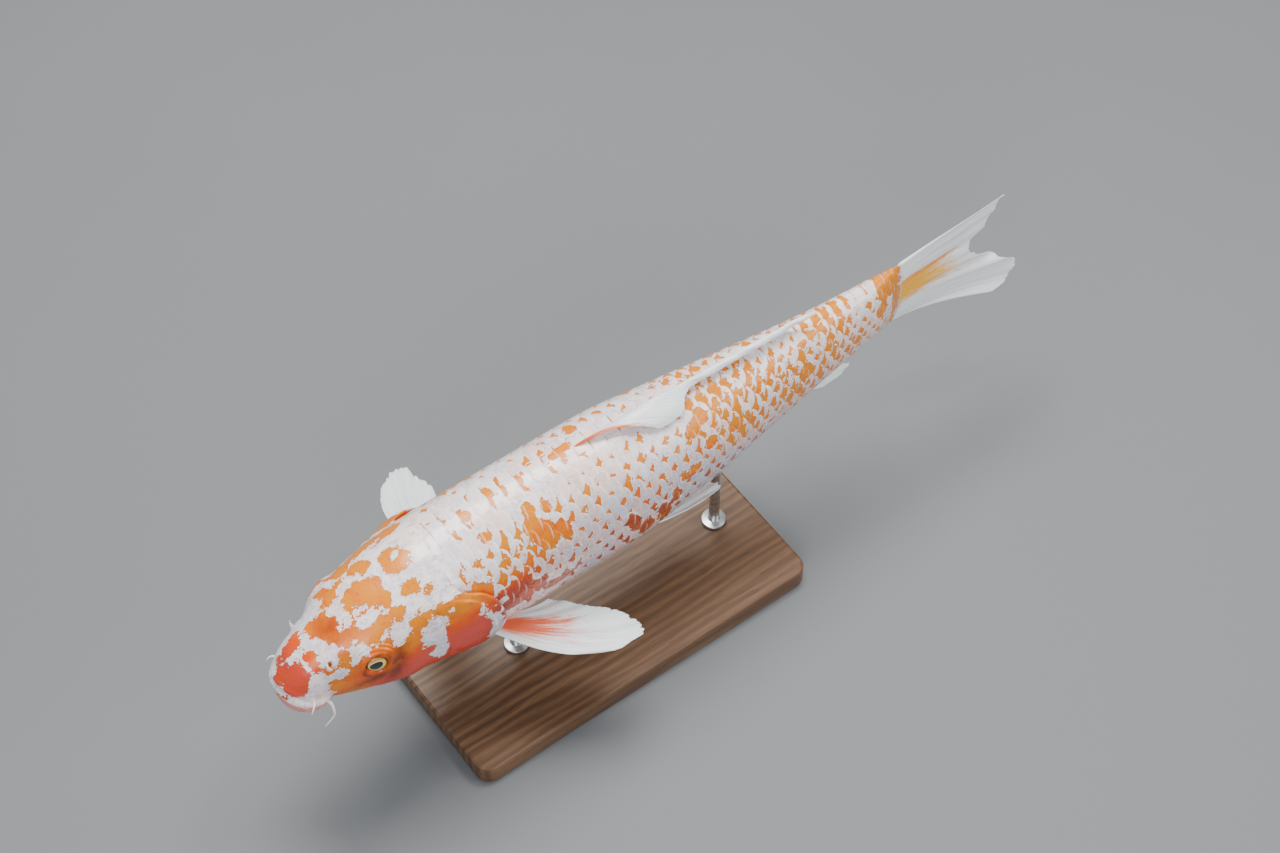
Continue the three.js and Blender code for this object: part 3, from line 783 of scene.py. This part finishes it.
UNWRAP_WIDTH = 320
skin_girths = girth_of(rows_along, angles)
unwrap = joined(rows_along / LENGTH, 0.5 + skin_girths / UNWRAP_WIDTH)
skin_fields = marking_fields(rows_along, skin_girths) | {"lip": lip_share, "mouth": mouth_seam_shade}
skin_fields["orange"] -= np.where(in_head, 0, 1.5)[:, None]
skin = sheet("skin", placed(skin_points), skin_material, {"unwrap": unwrap}, skin_fields)
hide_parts("head", "trunk", "tail_stalk", "lip_upper", "lip_lower", "gill_cover_left",
            "gill_cover_right")

# ============================================================ scales
# Thin round-ended plates of clear horn over pearly skin, rooted in front and free behind, in
# staggered rows that run level with the lateral line. One plate is shaped and then laid down
# about nine hundred times. One more row covers the ridge of the back and one the keel.
SCALE_ROOT, SCALE_TIP, SCALE_WAIST = -8.0, 5.4, -2.0
LATERAL_ANGLE = math.radians(88)
ROW_HEIGHT = line([[90, 9.4], [200, 10.0], [300, 8.8], [400, 7.4], [454, 6.8]])
PITCH = line([[80, 9.8], [200, 9.8], [320, 9.0], [454, 8.2]])
PLATE_PITCH = 9.8
SCALES_END = 449.0
SCALE_MARGIN = 0.45

bpy.ops.mesh.primitive_grid_add(x_subdivisions=8, y_subdivisions=6)
pattern = bpy.context.object
plate_faces = [list(face.vertices) for face in pattern.data.polygons]
bpy.data.objects.remove(pattern)
across = np.sin(np.radians(np.linspace(-76, 76, 9)))
reach_out = (1 - np.abs(across) ** 2.3) ** (1 / 2.3)
plate_rows = []
for share in (0.0, 0.5, 1.0):
    narrow = lerp(0.78, 1.0, share)
    root_along = lerp(SCALE_ROOT, SCALE_WAIST, share) + 1.2 * across**2 * (1 - share)
    plate_rows.append(joined(root_along, across * narrow))
for share in (0.45, 0.8, 0.96, 1.0):
    plate_rows.append(joined(lerp(SCALE_WAIST, SCALE_TIP, share * reach_out), across))
plate = np.array(plate_rows).reshape(-1, 2)
rolled = np.array([0, 0, 0, 0, 0, 0.03, 0.2]).repeat(9)
plate_lift = lerp(-0.95, -0.18, (plate[:, 0] - SCALE_ROOT) / (SCALE_TIP - SCALE_ROOT))
plate_lift -= 0.16 * plate[:, 1] ** 2 + rolled
rim_loop = [*range(0, 9), *range(17, 63, 9), *range(61, 53, -1), *range(45, 0, -9)]
plate_faces.append(rim_loop[::-1])

half_steps = [84.0]
while half_steps[-1] < SCALES_END:
    half_steps.append(half_steps[-1] + float(PITCH(half_steps[-1])) / 2)


def scale_rows(side):
    """Where each scale of one flank lies: its middle, its girth and its half-width."""
    places = []
    for number in range(-10, 11):
        along = np.array(half_steps[number % 2 :: 2])
        height = ROW_HEIGHT(along)
        girth = girth_of(along, LATERAL_ANGLE) - number * height
        margin = SCALE_MARGIN * height
        angle = angle_of(along, girth)
        first = gill_edge(angle) + lerp(6.5, 1.0, cover_share(angle))
        kept = (girth >= margin) & (girth <= girth_of(along, np.pi) - margin) & (along >= first)
        places.append(joined(along, side * girth, height * 1.04, number == 0)[kept])
    return np.concatenate(places)


def ridge_row(angle, first):
    """A single row over the ridge or the keel."""
    along = np.array(half_steps[::2])
    along = along[along > first]
    return joined(along, girth_of(along, angle), ROW_HEIGHT(along), 0)


def scale_piece(name, places, material, seed, raised=0.0):
    """One joined mesh of plates that bend with the body under them."""
    chance = np.random.default_rng(seed)
    count, points = len(places), len(plate)
    middle = places[:, 0] + chance.uniform(-0.35, 0.35, count)
    size = chance.uniform(0.96, 1.04, count)
    tilt = chance.uniform(-0.03, 0.07, count)
    skewed = chance.uniform(-0.04, 0.04, count)
    local_along = plate[None, :, 0] * (size * PITCH(middle) / PLATE_PITCH)[:, None]
    local_round = plate[None, :, 1] * (places[:, 2] * size)[:, None]
    along = middle[:, None] + local_along + skewed[:, None] * local_round
    follow = ROW_HEIGHT(along) / ROW_HEIGHT(middle)[:, None]
    side = np.where(places[:, 1] < 0, -1.0, 1.0)[:, None]
    away = np.abs(places[:, 1])
    off_level = (away - girth_of(middle, LATERAL_ANGLE))[:, None]
    flank_girth = side * (girth_of(along, LATERAL_ANGLE) + off_level * follow) + local_round
    girth = np.where(away[:, None] < 1, local_round, flank_girth)
    along = np.minimum(along, SKIN_END - 2)
    angle = angle_of(along, girth)
    behind_root = (plate[:, 0] - SCALE_ROOT) / (SCALE_TIP - SCALE_ROOT)
    lift = plate_lift[None] + raised + tilt[:, None] * behind_root[None] * 1.5
    vertices = placed(section(along, angle) + outward(along, angle) * lift[..., None])
    mesh = bpy.data.meshes.new(name)
    faces = [[corner + points * i for corner in face] for i in range(count) for face in plate_faces]
    mesh.from_pydata((vertices.reshape(-1, 3) * MM).tolist(), [], faces)
    local = np.broadcast_to(joined(0.5 + 0.5 * plate[:, 1], behind_root), (count, points, 2))
    root = joined(middle / LENGTH, 0.5 + places[:, 1] / UNWRAP_WIDTH)
    baked = root[:, None] + (local[..., ::-1] - 0.5) * 0.003
    by_scale = {
        "net": net_share(middle, places[:, 1]),
        "fleck": fleck_share(middle, places[:, 1]),
        "chance": chance.uniform(0, 1, count),
        "lateral": places[:, 3],
    }
    fields = {title: np.repeat(values[:, None], points, axis=1) for title, values in by_scale.items()}
    give_maps(mesh, {"plate": local, "OFBake": baked}, marking_fields(along, girth) | fields)
    piece = bpy.data.objects.new(name, mesh)
    bpy.context.collection.objects.link(piece)
    bpy.ops.object.select_all(action="DESELECT")
    piece.select_set(True)
    bpy.context.view_layer.objects.active = piece
    close_up(piece, material, 50, weld=False)


def map_of(tree, title):
    """A place on the piece's own UV map, and its two numbers."""
    spot = Value(add_node(tree, "ShaderNodeUVMap", uv_map=title))
    parts = add_node(tree, "ShaderNodeSeparateXYZ", {"Vector": spot})
    return spot, Value(parts, "X"), Value(parts, "Y")


def length_of(x, y):
    """The length of a step with these two sides."""
    return (x * x + y * y).maths("SQRT")


scale_material, tree = new_material("pearly_scales", **WET)
place = place_of(tree)
_, across_plate, down_plate = map_of(tree, "plate")
aside = (across_plate - 0.5) * 2.0
aft = down_plate * (SCALE_TIP - SCALE_ROOT) + SCALE_ROOT
fleck, chance_value, net = (field_of(tree, title) for title in ("fleck", "chance", "net"))
# an orange fleck at the root of each chosen scale, longer and curved where they join into a net
varied = (chance_value * 7.3).maths("FRACT")
spindles = place.noise(105.0, 4.0, 0.65, stretch=(2.6, 0.9, 0.9))
front_edge = (varied - 0.5) * 3.2 + net.ramp(0.0, 1.0, -0.3, 2.5)
front_edge = front_edge + (place.noise(120.0, 2.0) - 0.5) * 7.0 + (spindles - 0.5) * 13.0
curve = aside.maths("ABSOLUTE").maths("POWER", 1.5) * net.ramp(0.0, 1.0, 4.6, 2.4)
likely = (place.noise(38.0, 2.0) - 0.5) * 1.6 + fleck * 1.15 - 0.02
spared = (chance_value - likely).maths("MAXIMUM", 0.0) * 22.0
mottles = (place.noise(230.0, 3.0, 0.6) - 0.5) * net * 13.0
flecked = front_edge - curve - aft - spared + mottles
colour, orange, height = marked(tree, flecked.maths("MAXIMUM", field_of(tree, "orange")), 0.5)
# a tinted middle, a pale free edge, a thin line at the root and freckles
tint = varied.blend((1.0, 0.88, 0.84), (0.93, 0.93, 1.0))
middle_share = aft.ramp(5.2, 1.5) * (orange * -1.0 + 1.0)
colour = (middle_share * 0.75).blend(colour, tint, "MULTIPLY")
colour = aft.ramp(SCALE_TIP - 1.9, SCALE_TIP - 0.3, 0.0, 0.3).blend(colour, (0.97, 0.95, 0.96))
broken = place.noise(210.0, 3.0)
thin_line = aft.ramp(-4.6, -3.0, 1.0, 0.0) * broken.ramp(0.40, 0.56, 0.1, 0.9)
colour = thin_line.blend(colour, (0.55, 0.17, 0.04))
freckles = place.noise(520.0, 3.0, 0.65).ramp(0.55, 0.64, 0.0, 0.9) * broken.ramp(0.45, 0.62) * fleck
colour = (freckles * middle_share).blend(colour, (0.86, 0.30, 0.05))
fine = place.noise(900.0, 2.0)
gloss = fine.ramp(0.2, 0.8, 0.7, 0.45) * orange.ramp(0.0, 1.0, 1.0, 0.3)
# growth rings and spokes round the root, and the tube of the lateral line
wide = aside * 9.0
behind = aft + 3.0
growth = (length_of(wide, behind) * 9.0).maths("SINE")
spokes = (wide.maths("ARCTAN2", behind) * 26.0).maths("SINE")
tube = aside.maths("ABSOLUTE").ramp(0.12, 0.03) * field_of(tree, "lateral")
height = height * 0.7 + growth * 0.02 + spokes * 0.02 + tube * 1.2
feed(tree, colour, fine.ramp(0.2, 0.8, 0.22, 0.36), gloss, height, 0.5, 0.0004)

scale_piece("scales_left", scale_rows(-1), scale_material, 11)
scale_piece("scales_right", scale_rows(1), scale_material, 12)
scale_piece("scales_ridge", ridge_row(0.0, 108), scale_material, 13, 0.03)
scale_piece("scales_keel", ridge_row(np.pi, 104), scale_material, 14, 0.03)

# ============================================================ eyes
# A polished glass eye, low-domed as a carp's is under its clear cornea: an oval black pupil
# in a pale gold iris ringed in dark, set into the socket's rim.
IRIS_MAP = 20.0
PUPIL_TILT = math.radians(15)
PUPIL_HALVES = (4.0, 2.8)
eye_material, tree = new_material("iris", specular_ior_level=0.5, coat_weight=1.0, coat_roughness=0.02)
_, map_x, map_y = map_of(tree, "iris")
iris_x = (map_x - 0.5) * IRIS_MAP
iris_y = (map_y - 0.5) * IRIS_MAP
far = length_of(iris_x, iris_y)
pupil_x = iris_x + 0.6
tilted_x = pupil_x * math.cos(PUPIL_TILT) + iris_y * math.sin(PUPIL_TILT)
tilted_y = iris_y * math.cos(PUPIL_TILT) - pupil_x * math.sin(PUPIL_TILT)
pupil_far = length_of(tilted_x * (1 / PUPIL_HALVES[0]), tilted_y * (1 / PUPIL_HALVES[1]))
turn = iris_y.maths("ARCTAN2", iris_x)
ring_place = {"X": turn.maths("SINE"), "Y": turn.maths("COSINE"), "Z": far * 0.05}
streaks = Value(add_node(tree, "ShaderNodeCombineXYZ", ring_place)).noise(9.0, 4.0, 0.7)
gold = streaks.blend((0.78, 0.48, 0.04), (0.90, 0.68, 0.20))
shaded_top = iris_y.ramp(0.5, 5.0) * streaks.ramp(0.35, 0.6, 0.3, 0.9)
gold = shaded_top.blend(gold, (0.55, 0.20, 0.02))
gold = streaks.ramp(0.56, 0.7, 0.0, 0.6).blend(gold, (0.50, 0.26, 0.03))
gold = far.ramp(4.7, 5.6).blend(gold, (0.16, 0.05, 0.012))
gold = pupil_far.ramp(1.25, 1.1).blend(gold, (1.0, 0.80, 0.30))
gold = pupil_far.ramp(1.04, 0.98).blend(gold, (0.006, 0.006, 0.008))
feed(tree, gold, streaks.ramp(0.2, 0.8, 0.2, 0.35), height=streaks)
BALL_PROFILE = [[0, 2.4], [1.4, 2.3], [3.0, 2.0], [4.4, 1.4], [5.5, 0.75], [6.2, 0.05], [6.7, -0.9],
                [6.9, -2.0], [6.4, -3.9], [4.3, -5.4], [0, -6.1]]


def curve_through(points, steps):
    """Rows of points on a smooth curve through a few points."""
    points = np.array(points, float)
    number = np.arange(len(points))
    reached = np.linspace(0, len(points) - 1, steps)
    return joined(*(line(joined(number, column))(reached) for column in points.T))


def turned(profile, side, steps=64):
    """Rows of points round the eye's axis, from a profile of [radius, height]."""
    ring = np.linspace(0, 2 * np.pi, steps + 1)
    fine_profile = curve_through(profile, 6 * (len(profile) - 1) + 1)
    radius, height = fine_profile[:, 0, None], fine_profile[:, 1, None]
    local_x, local_y = radius * np.cos(ring), radius * np.sin(ring)
    at = eye_place + local_x[..., None] * eye_aft + local_y[..., None] * eye_up
    at = at + (height * np.ones_like(ring))[..., None] * eye_axis
    at = at * [1, side, 1]
    return placed(at), joined(0.5 + local_x / IRIS_MAP, 0.5 + local_y / IRIS_MAP)


SIDES = {"left": -1, "right": 1}
for label, side in SIDES.items():
    ball_points, ball_map = turned(BALL_PROFILE, side)
    ball = sheet(f"eyeball_{label}", ball_points, eye_material, {"iris": ball_map})
    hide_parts(f"eye_{label}")

# ============================================================ barbels and nostril flaps
# Soft tapering feelers, a long pair at the corners of the mouth and a short pair on the upper
# lip, and a small upright flap of skin between the two openings of each nostril.
feeler_material, tree = new_material("feelers", **WET)
veins = place_of(tree).noise(500.0, 3.0)
feeler_colour = veins.blend((0.80, 0.78, 0.80), (0.90, 0.84, 0.84))
feed(tree, feeler_colour, veins.ramp(0.2, 0.8, 0.25, 0.4), height=veins, strength=0.4)
BARBELS = {
    "long": (1.5, [[15, 14.5, -8.5], [17, 16, -10.5], [20, 21, -12.5], [19.5, 23.5, -20],
                   [12, 22.5, -29]]),
    "short": (1.1, [[12.5, 13, -6], [12, 15.5, -5], [10.5, 19.5, -3.6], [8.5, 21.5, -4.6],
                    [6, 22.5, -7.5]]),
}


def feeler(path, radius, side, steps=40, around=14, flat=1.0):
    """Rows of points round a bent tapering feeler with a round tip and a flared root."""
    middle = curve_through(np.array(path) * [1, side, 1], steps)
    ahead = unit(np.gradient(middle, axis=0))
    aside_way = unit(np.cross(ahead, [0.3, 0.2, 1.0]))
    over = np.cross(ahead, aside_way)
    share = np.linspace(0, 1, steps)
    thick = radius * (1 - 0.72 * share) * (1 + 0.6 * np.exp(-share * 9)) * np.sqrt(1 - share**14)
    ring = np.linspace(0, 2 * np.pi, around + 1)
    across, upright = np.cos(ring)[:, None], np.sin(ring)[:, None]
    turned_way = flat * aside_way[:, None] * across + over[:, None] * upright
    rows = middle[:, None] + turned_way * thick[:, None, None]
    rows[0] = middle[0]
    rows[-1] = middle[-1]
    return placed(rows), joined(share[:, None], ring / 6.3)


for kind, (radius, path) in BARBELS.items():
    for label, side in SIDES.items():
        barbel_points, barbel_map = feeler(path, radius, side)
        barbel = sheet(f"feeler_{kind}_{label}", barbel_points, feeler_material,
                       {"along": barbel_map})
        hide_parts(f"barbel_{kind}_{label}")

NOSTRIL_ALONG = np.array(24.2)
nostril_angle = angle_of(NOSTRIL_ALONG[None], np.array([NOSTRIL_GIRTH]))[0]
nostril = section(NOSTRIL_ALONG, nostril_angle)
nostril_up = outward(NOSTRIL_ALONG, nostril_angle)
FLAP_STEPS = ((-1, 0), (1.2, 0), (3.6, 0.9), (5.2, 2.6))
FLAP = [nostril + height * nostril_up + [aft, 0, 0] for height, aft in FLAP_STEPS]
for label, side in SIDES.items():
    flap_points, flap_map = feeler(FLAP, 2.3, side, steps=16, flat=0.25)
    sheet(f"nostril_flap_{label}", flap_points, feeler_material, {"along": flap_map})

# ============================================================ fins
# Bony rays that split twice on their way out, joined by thin clear skin. The rays stand proud
# on both faces, and the web is worn back a little between their tips.
RAY_COLUMNS = 14
FIN_ROWS = 44


def ray_ridges(u, v, rays):
    """How near a place lies to a ray: 1 on its line, 0 in the web."""
    x = (u * rays) % 1 - 0.5
    first = 0.25 * smooth(0.30, 0.62, v)
    second = 0.125 * smooth(0.66, 0.9, v)
    away = np.minimum.reduce([np.abs(x - a * first - b * second) for a in (-1, 1) for b in (-1, 1)])
    return np.exp(-((away / lerp(0.2, 0.075, smooth(0, 0.8, v))) ** 2))


def both_faces(over, under):
    """One closed loop per row: out over one face and back under the other."""
    return np.concatenate([over, under[:, ::-1], over[:, :1]], axis=1)


def fin(name, node, blade, rays, thick, colouring, seed, wave=0.6, worn=1.0, relief=0.2):
    """A fin on a blade(u, v): u runs along the root and v out to the edge."""
    chance = np.random.default_rng(seed)
    u = np.linspace(0, 1, rays * RAY_COLUMNS + 1)[None]
    v = np.append(np.linspace(0, 1, FIN_ROWS) ** 0.9, 1.0)[:, None]
    v_grid, u_grid = np.broadcast_arrays(v, u)
    tip_knots, group_knots = np.linspace(0, 1, rays * 4 + 1), np.linspace(0, 1, rays + 1)
    tips = np.interp(u_grid, tip_knots, chance.uniform(0, 0.03, rays * 4 + 1))
    groups = np.interp(u_grid, group_knots, chance.uniform(0, 0.035, rays + 1))
    notch = np.abs(2 * ((u_grid * rays * 4) % 1) - 1) ** 2 + np.abs(2 * ((u_grid * rays) % 1) - 1) ** 4
    v_worn = v_grid * (1 - worn * (tips + groups + 0.012 * notch) * smooth(0.55, 1, v_grid))
    small = 2e-3
    at = blade(u_grid, v_worn)
    next_u, last_u = np.minimum(u_grid + small, 1), np.maximum(u_grid - small, 0)
    along_root = blade(next_u, v_worn) - blade(last_u, v_worn)
    along_ray = blade(u_grid, v_worn + small) - blade(u_grid, np.maximum(v_worn - small, 0))
    off = unit(np.cross(along_root, along_ray))
    ridge = ray_ridges(u_grid, v_grid, rays)
    folds = np.sin(u_grid * rays * 0.9 + 2 * np.sin(u_grid * 7 + seed) + 0.8 * v_grid)
    folds += 0.5 * np.sin(u_grid * rays * 2.3 + seed)
    at = at + off * (wave * smooth(0.15, 1, v_grid) * folds)[..., None]
    edges = np.sqrt(np.clip(np.minimum(u_grid, 1 - u_grid) * 60, 0.0, 1))
    half = 0.5 * thick(u_grid, v_grid) + relief * (ridge - 0.4)
    half *= lerp(1, 0.5, smooth(0.9, 1, v_grid)) * edges
    half[0] = 0
    half[-1] = 0
    over = at + off * half[..., None]
    under = at - off * half[..., None]
    place = joined(u, v)
    maps, fields = {"rays": both_faces(place, place)}, {"ray": both_faces(ridge, ridge)}
    piece = sheet(name, placed(both_faces(over, under)), colouring, maps, fields, sharp=55)
    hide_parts(node)


def fin_material(name, stains):
    """White webs with paler rays and broad grey bands of painted shade for the web's folds; each stain is
    [u, v, half-u, half-v, colour].
    """
    material, tree = new_material(name, specular_ior_level=0.45, subsurface_weight=0.25,
                                  subsurface_scale=0.003, coat_roughness=0.15)
    spot, u, v = map_of(tree, "rays")
    folds = spot.noise(2.2, 2.0, 0.5, stretch=(9.0, 0.5, 1.0))
    streaks = spot.noise(5.0, 5.0, 0.6, stretch=(9.0, 0.8, 1.0))
    fine = spot.noise(14.0, 3.0, 0.6, stretch=(9.0, 1.0, 1.0))
    ray = field_of(tree, "ray")
    web = streaks.ramp(0.35, 0.65).blend((0.82, 0.86, 0.90), (0.96, 0.96, 0.96))
    # painted shade: broad grey bands across the web stand for the shade in its folds
    web = folds.ramp(0.42, 0.62, 0.0, 0.65).blend(web, (0.62, 0.66, 0.71))
    bone = fine.blend((0.98, 0.97, 0.96), (0.90, 0.93, 0.95))
    colour = ray.ramp(0.15, 0.8, 0.1, 0.9).blend(web, bone)
    for middle_u, middle_v, half_u, half_v, stain in stains:
        far = length_of((u - middle_u) * (1 / half_u), (v - middle_v) * (1 / half_v))
        uneven = far + (streaks - 0.5) * 1.7 + (fine - 0.5) * 0.9
        colour = uneven.ramp(1.2, 0.5).blend(colour, stain)
    joints = (v * 260.0).maths("SINE") * ray
    feed(tree, colour, fine.ramp(0.2, 0.8, 0.28, 0.45), fine.ramp(0.2, 0.8, 0.4, 0.2), joints * 0.3 + fine)
    return material


# The paired fins fan out from a short fleshy root low on the flank.
PECTORAL_REACH = line([[0, 68], [0.05, 76], [0.12, 84], [0.22, 92], [0.32, 97], [0.42, 94],
                       [0.52, 86], [0.62, 76], [0.66, 66], [0.82, 53], [1, 38]])
PELVIC_REACH = line([[0, 58], [0.2, 66], [0.5, 60], [1, 38]])


def paired_blade(side, root, root_end, reach_of, lead, trail, sweep, droop, cup):
    """A paired fin's middle surface; its angles are in degrees from the tail's direction."""
    lead, trail, sweep, droop = (math.radians(value) for value in (lead, trail, sweep, droop))

    def blade(u, v):
        reach = reach_of(u) * v
        level = reach * math.cos(droop)
        angle = lerp(lead, trail, u) + sweep * (1 - 0.5 * u) * v * v / 2
        start = [lerp(root[k], root_end[k], u) for k in range(3)]
        fall = reach * math.sin(droop) - cup * v * v * (1 - 0.4 * u)
        x = start[0] + level * np.cos(angle)
        y = side * (start[1] + level * np.sin(angle))
        return joined(x, y, start[2] - fall)

    return blade


def paired_thickness(root_thick):
    return lambda u, v: lerp(root_thick, 0.62, np.clip(v, 0, 1) ** 0.35)


CORAL = (0.88, 0.15, 0.05)
plain_fin = fin_material("white_fin", [[0.5, 0.0, 0.5, 0.10, (0.80, 0.55, 0.48)]])
stained_fin = fin_material("stained_fin", [[0.50, 0.05, 0.36, 0.52, CORAL], [0.62, 0.1, 0.12, 0.62, CORAL]])
pectoral_root, pectoral_end = [124, 24, -36], [134, 19, -41]
left_blade = paired_blade(-1, pectoral_root, pectoral_end, PECTORAL_REACH, 57, 14, -30, 14, 2)
right_blade = paired_blade(1, pectoral_root, pectoral_end, PECTORAL_REACH, 92, 55, -12, 11, 2)
pectoral_thick = paired_thickness(3.2)
fin("pectoral_fin_left", "fin_pectoral_left", left_blade, 17, pectoral_thick, stained_fin, 3,
    0.8, 0.8, 0.08)
fin("pectoral_fin_right", "fin_pectoral_right", right_blade, 17, pectoral_thick, plain_fin, 4,
    0.9, 1.0, 0.08)
for label, side in SIDES.items():
    pelvic_blade = paired_blade(side, [235, 16, -46.5], [245, 11, -49], PELVIC_REACH, 14, -4, -12, 2, 3)
    fin(f"pelvic_fin_{label}", f"fin_pelvic_{label}", pelvic_blade, 9, paired_thickness(2.6), plain_fin, 5,
        0.3, 1.0, 0.1)

# The dorsal fin is folded: its long front rays lie back and lean over the left flank.
DORSAL_REACH = line([[0, 54.5], [0.05, 59], [0.12, 54.5], [0.3, 42.5], [0.65, 33], [1, 24]])


def dorsal_blade(u, v):
    root = lerp(205, 362, u)
    fold = lerp(1, 0.4, smooth(0.03, 0.25, u)) * lerp(1, 0.6, u)
    along = root + DORSAL_REACH(u) * v
    arch = 18 * (1 - (1 - v) ** 2) - (4.5 + 14.5 * fold) * v * v
    return joined(along, -17 * fold * v**1.1, back(along) - 2.5 + arch)


dorsal_material = fin_material("dorsal_fin", [[0.0, 0.2, 0.03, 0.6, (0.80, 0.12, 0.01)],
                                              [0.1, 0.0, 0.3, 0.12, (0.84, 0.15, 0.0)],
                                              [0.6, 0.0, 0.4, 0.14, (0.80, 0.15, 0.02)]])
fin("dorsal_fin", "fin_dorsal", dorsal_blade, 20, lambda u, v: lerp(1.9, 0.6, v), dorsal_material, 6,
    0.3, 0.6, 0.04)

# The anal fin is short, and trails back under the stalk.
ANAL_DROOP = math.radians(6)
ANAL_REACH = line([[0, 34], [0.2, 38], [0.6, 30], [1, 19]])


def anal_blade(u, v):
    root = lerp(360, 396, u)
    reach = ANAL_REACH(u) * v
    down = reach * math.sin(ANAL_DROOP) + 2.0 * v
    return joined(root + reach * math.cos(ANAL_DROOP), -7.5 * v**1.2, 2 - belly(root) - down)


fin("anal_fin", "fin_anal", anal_blade, 8, lambda u, v: lerp(2.1, 0.6, v), plain_fin, 7, 0.3, 1.0, 0.1)

# The tail fin is forked: a narrow pointed upper lobe and a fuller lower one, half folded.
TAIL_REACH = line([[0, 86], [0.03, 91], [0.12, 87], [0.3, 76], [0.44, 64], [0.54, 73], [0.68, 94],
                   [0.84, 111], [0.94, 105], [1, 86]])


def tail_blade(u, v):
    reach = TAIL_REACH(u) * v
    angle = np.radians(lerp(3, -15, u)) * lerp(0.7, 1.1, v)
    root = lerp(29.1, -26.6, u)
    side = -lerp(3.4, 13, smooth(0.4, 1, u)) * np.maximum(v, 0) ** 1.5
    return joined(BODY_END + reach * np.cos(angle), side, root + reach * np.sin(angle))


def tail_thickness(u, v):
    return lerp(8.4 * lerp(0.3, 1, np.sin(np.pi * u)), 0.62, np.clip(v, 0, 1) ** 0.35)


tail_material = fin_material("tail_fin", [[0.5, 0.0, 0.3, 0.08, (0.82, 0.20, 0.03)],
                                          [0.36, 0.12, 0.06, 0.66, (0.90, 0.20, 0.0)],
                                          [0.5, 0.08, 0.20, 0.70, (1.0, 0.46, 0.0)]])
fin("tail_fin", "fin_tail", tail_blade, 19, tail_thickness, tail_material, 8, 1.4, 1.0, 0.1)

# ============================================================ stand
# A flat base of oiled walnut with rounded corners, and two brushed steel rods, each with a
# turned foot, that enter the belly.
wood, tree = new_material("oiled_walnut", specular_ior_level=0.4, coat_weight=0.15, coat_roughness=0.3)
place = place_of(tree)
log = {"Vector": place, "Scale": (1.2, 9.0, 9.0), "Rotation": (0.1, 0.05, 0.12)}
log_place = Value(add_node(tree, "ShaderNodeMapping", log))
wave = {"Vector": log_place, "Scale": 5.5, "Distortion": 7.0, "Detail": 3.0, "Detail Scale": 1.4}
bands = Value(add_node(tree, "ShaderNodeTexWave", wave, bands_direction="Y"), "Fac")
pore = place.noise(1300.0, 3.0, 0.6, stretch=(0.05, 1.0, 1.0))
fibre = place.noise(420.0, 4.0, 0.6, stretch=(0.05, 1.0, 1.0))
brown = bands.blend((0.085, 0.040, 0.018), (0.20, 0.105, 0.050))
brown = log_place.noise(5.0, 3.0).ramp(0.3, 0.7, 0.0, 0.6).blend(brown, (0.15, 0.075, 0.035))
brown = fibre.ramp(0.35, 0.7, 0.0, 0.5).blend(brown, (0.09, 0.042, 0.019))
brown = pore.ramp(0.58, 0.70, 0.0, 0.6).blend(brown, (0.03, 0.014, 0.008))
feed(tree, brown, pore.ramp(0.3, 0.7, 0.34, 0.52), height=pore)
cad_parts["stand_base"].data.materials.clear()
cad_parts["stand_base"].data.materials.append(wood)

steel, tree = new_material("brushed_steel", metallic=1.0)
brushed = place_of(tree).noise(1600.0, 2.0, 0.6, stretch=(0.05, 0.05, 1.0))
steel_colour = brushed.blend((0.52, 0.53, 0.54), (0.66, 0.67, 0.68))
feed(tree, steel_colour, brushed.ramp(0.2, 0.8, 0.22, 0.40), height=brushed, strength=0.2, distance=0.0001)
BASE_TOP = 16.0
ROD_RADIUS = 3.5
FOOT_PROFILE = [[0, 0.3], [7.7, 0.3], [7.9, 0.3], [8.0, 0.6], [8.0, 2.8], [7.7, 3.2], [7.3, 3.3],
                [4.3, 3.3], [3.7, 3.5], [ROD_RADIUS, 4.0], [ROD_RADIUS, 4.6]]
ring = np.linspace(0, 2 * np.pi, 65)
for label, along in (("front", 160.0), ("rear", 314.0)):
    top = AXIS_HEIGHT - float(belly(along)) + 1.0
    radius, height = np.array(FOOT_PROFILE).T
    radius = np.append(radius, [ROD_RADIUS, 0])[:, None]
    height = np.append(height + BASE_TOP, [top, top])[:, None]
    stood = placed(np.array([along, 0.0, 0.0]))
    rod_points = joined(stood[0] + radius * np.cos(ring), stood[1] + radius * np.sin(ring), height)
    turned_map = {"turned": rod_points[..., :2] * MM}
    rod = sheet(f"stand_post_{label}", rod_points, steel, turned_map, sharp=30)
    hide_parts(f"stand_rod_{label}")
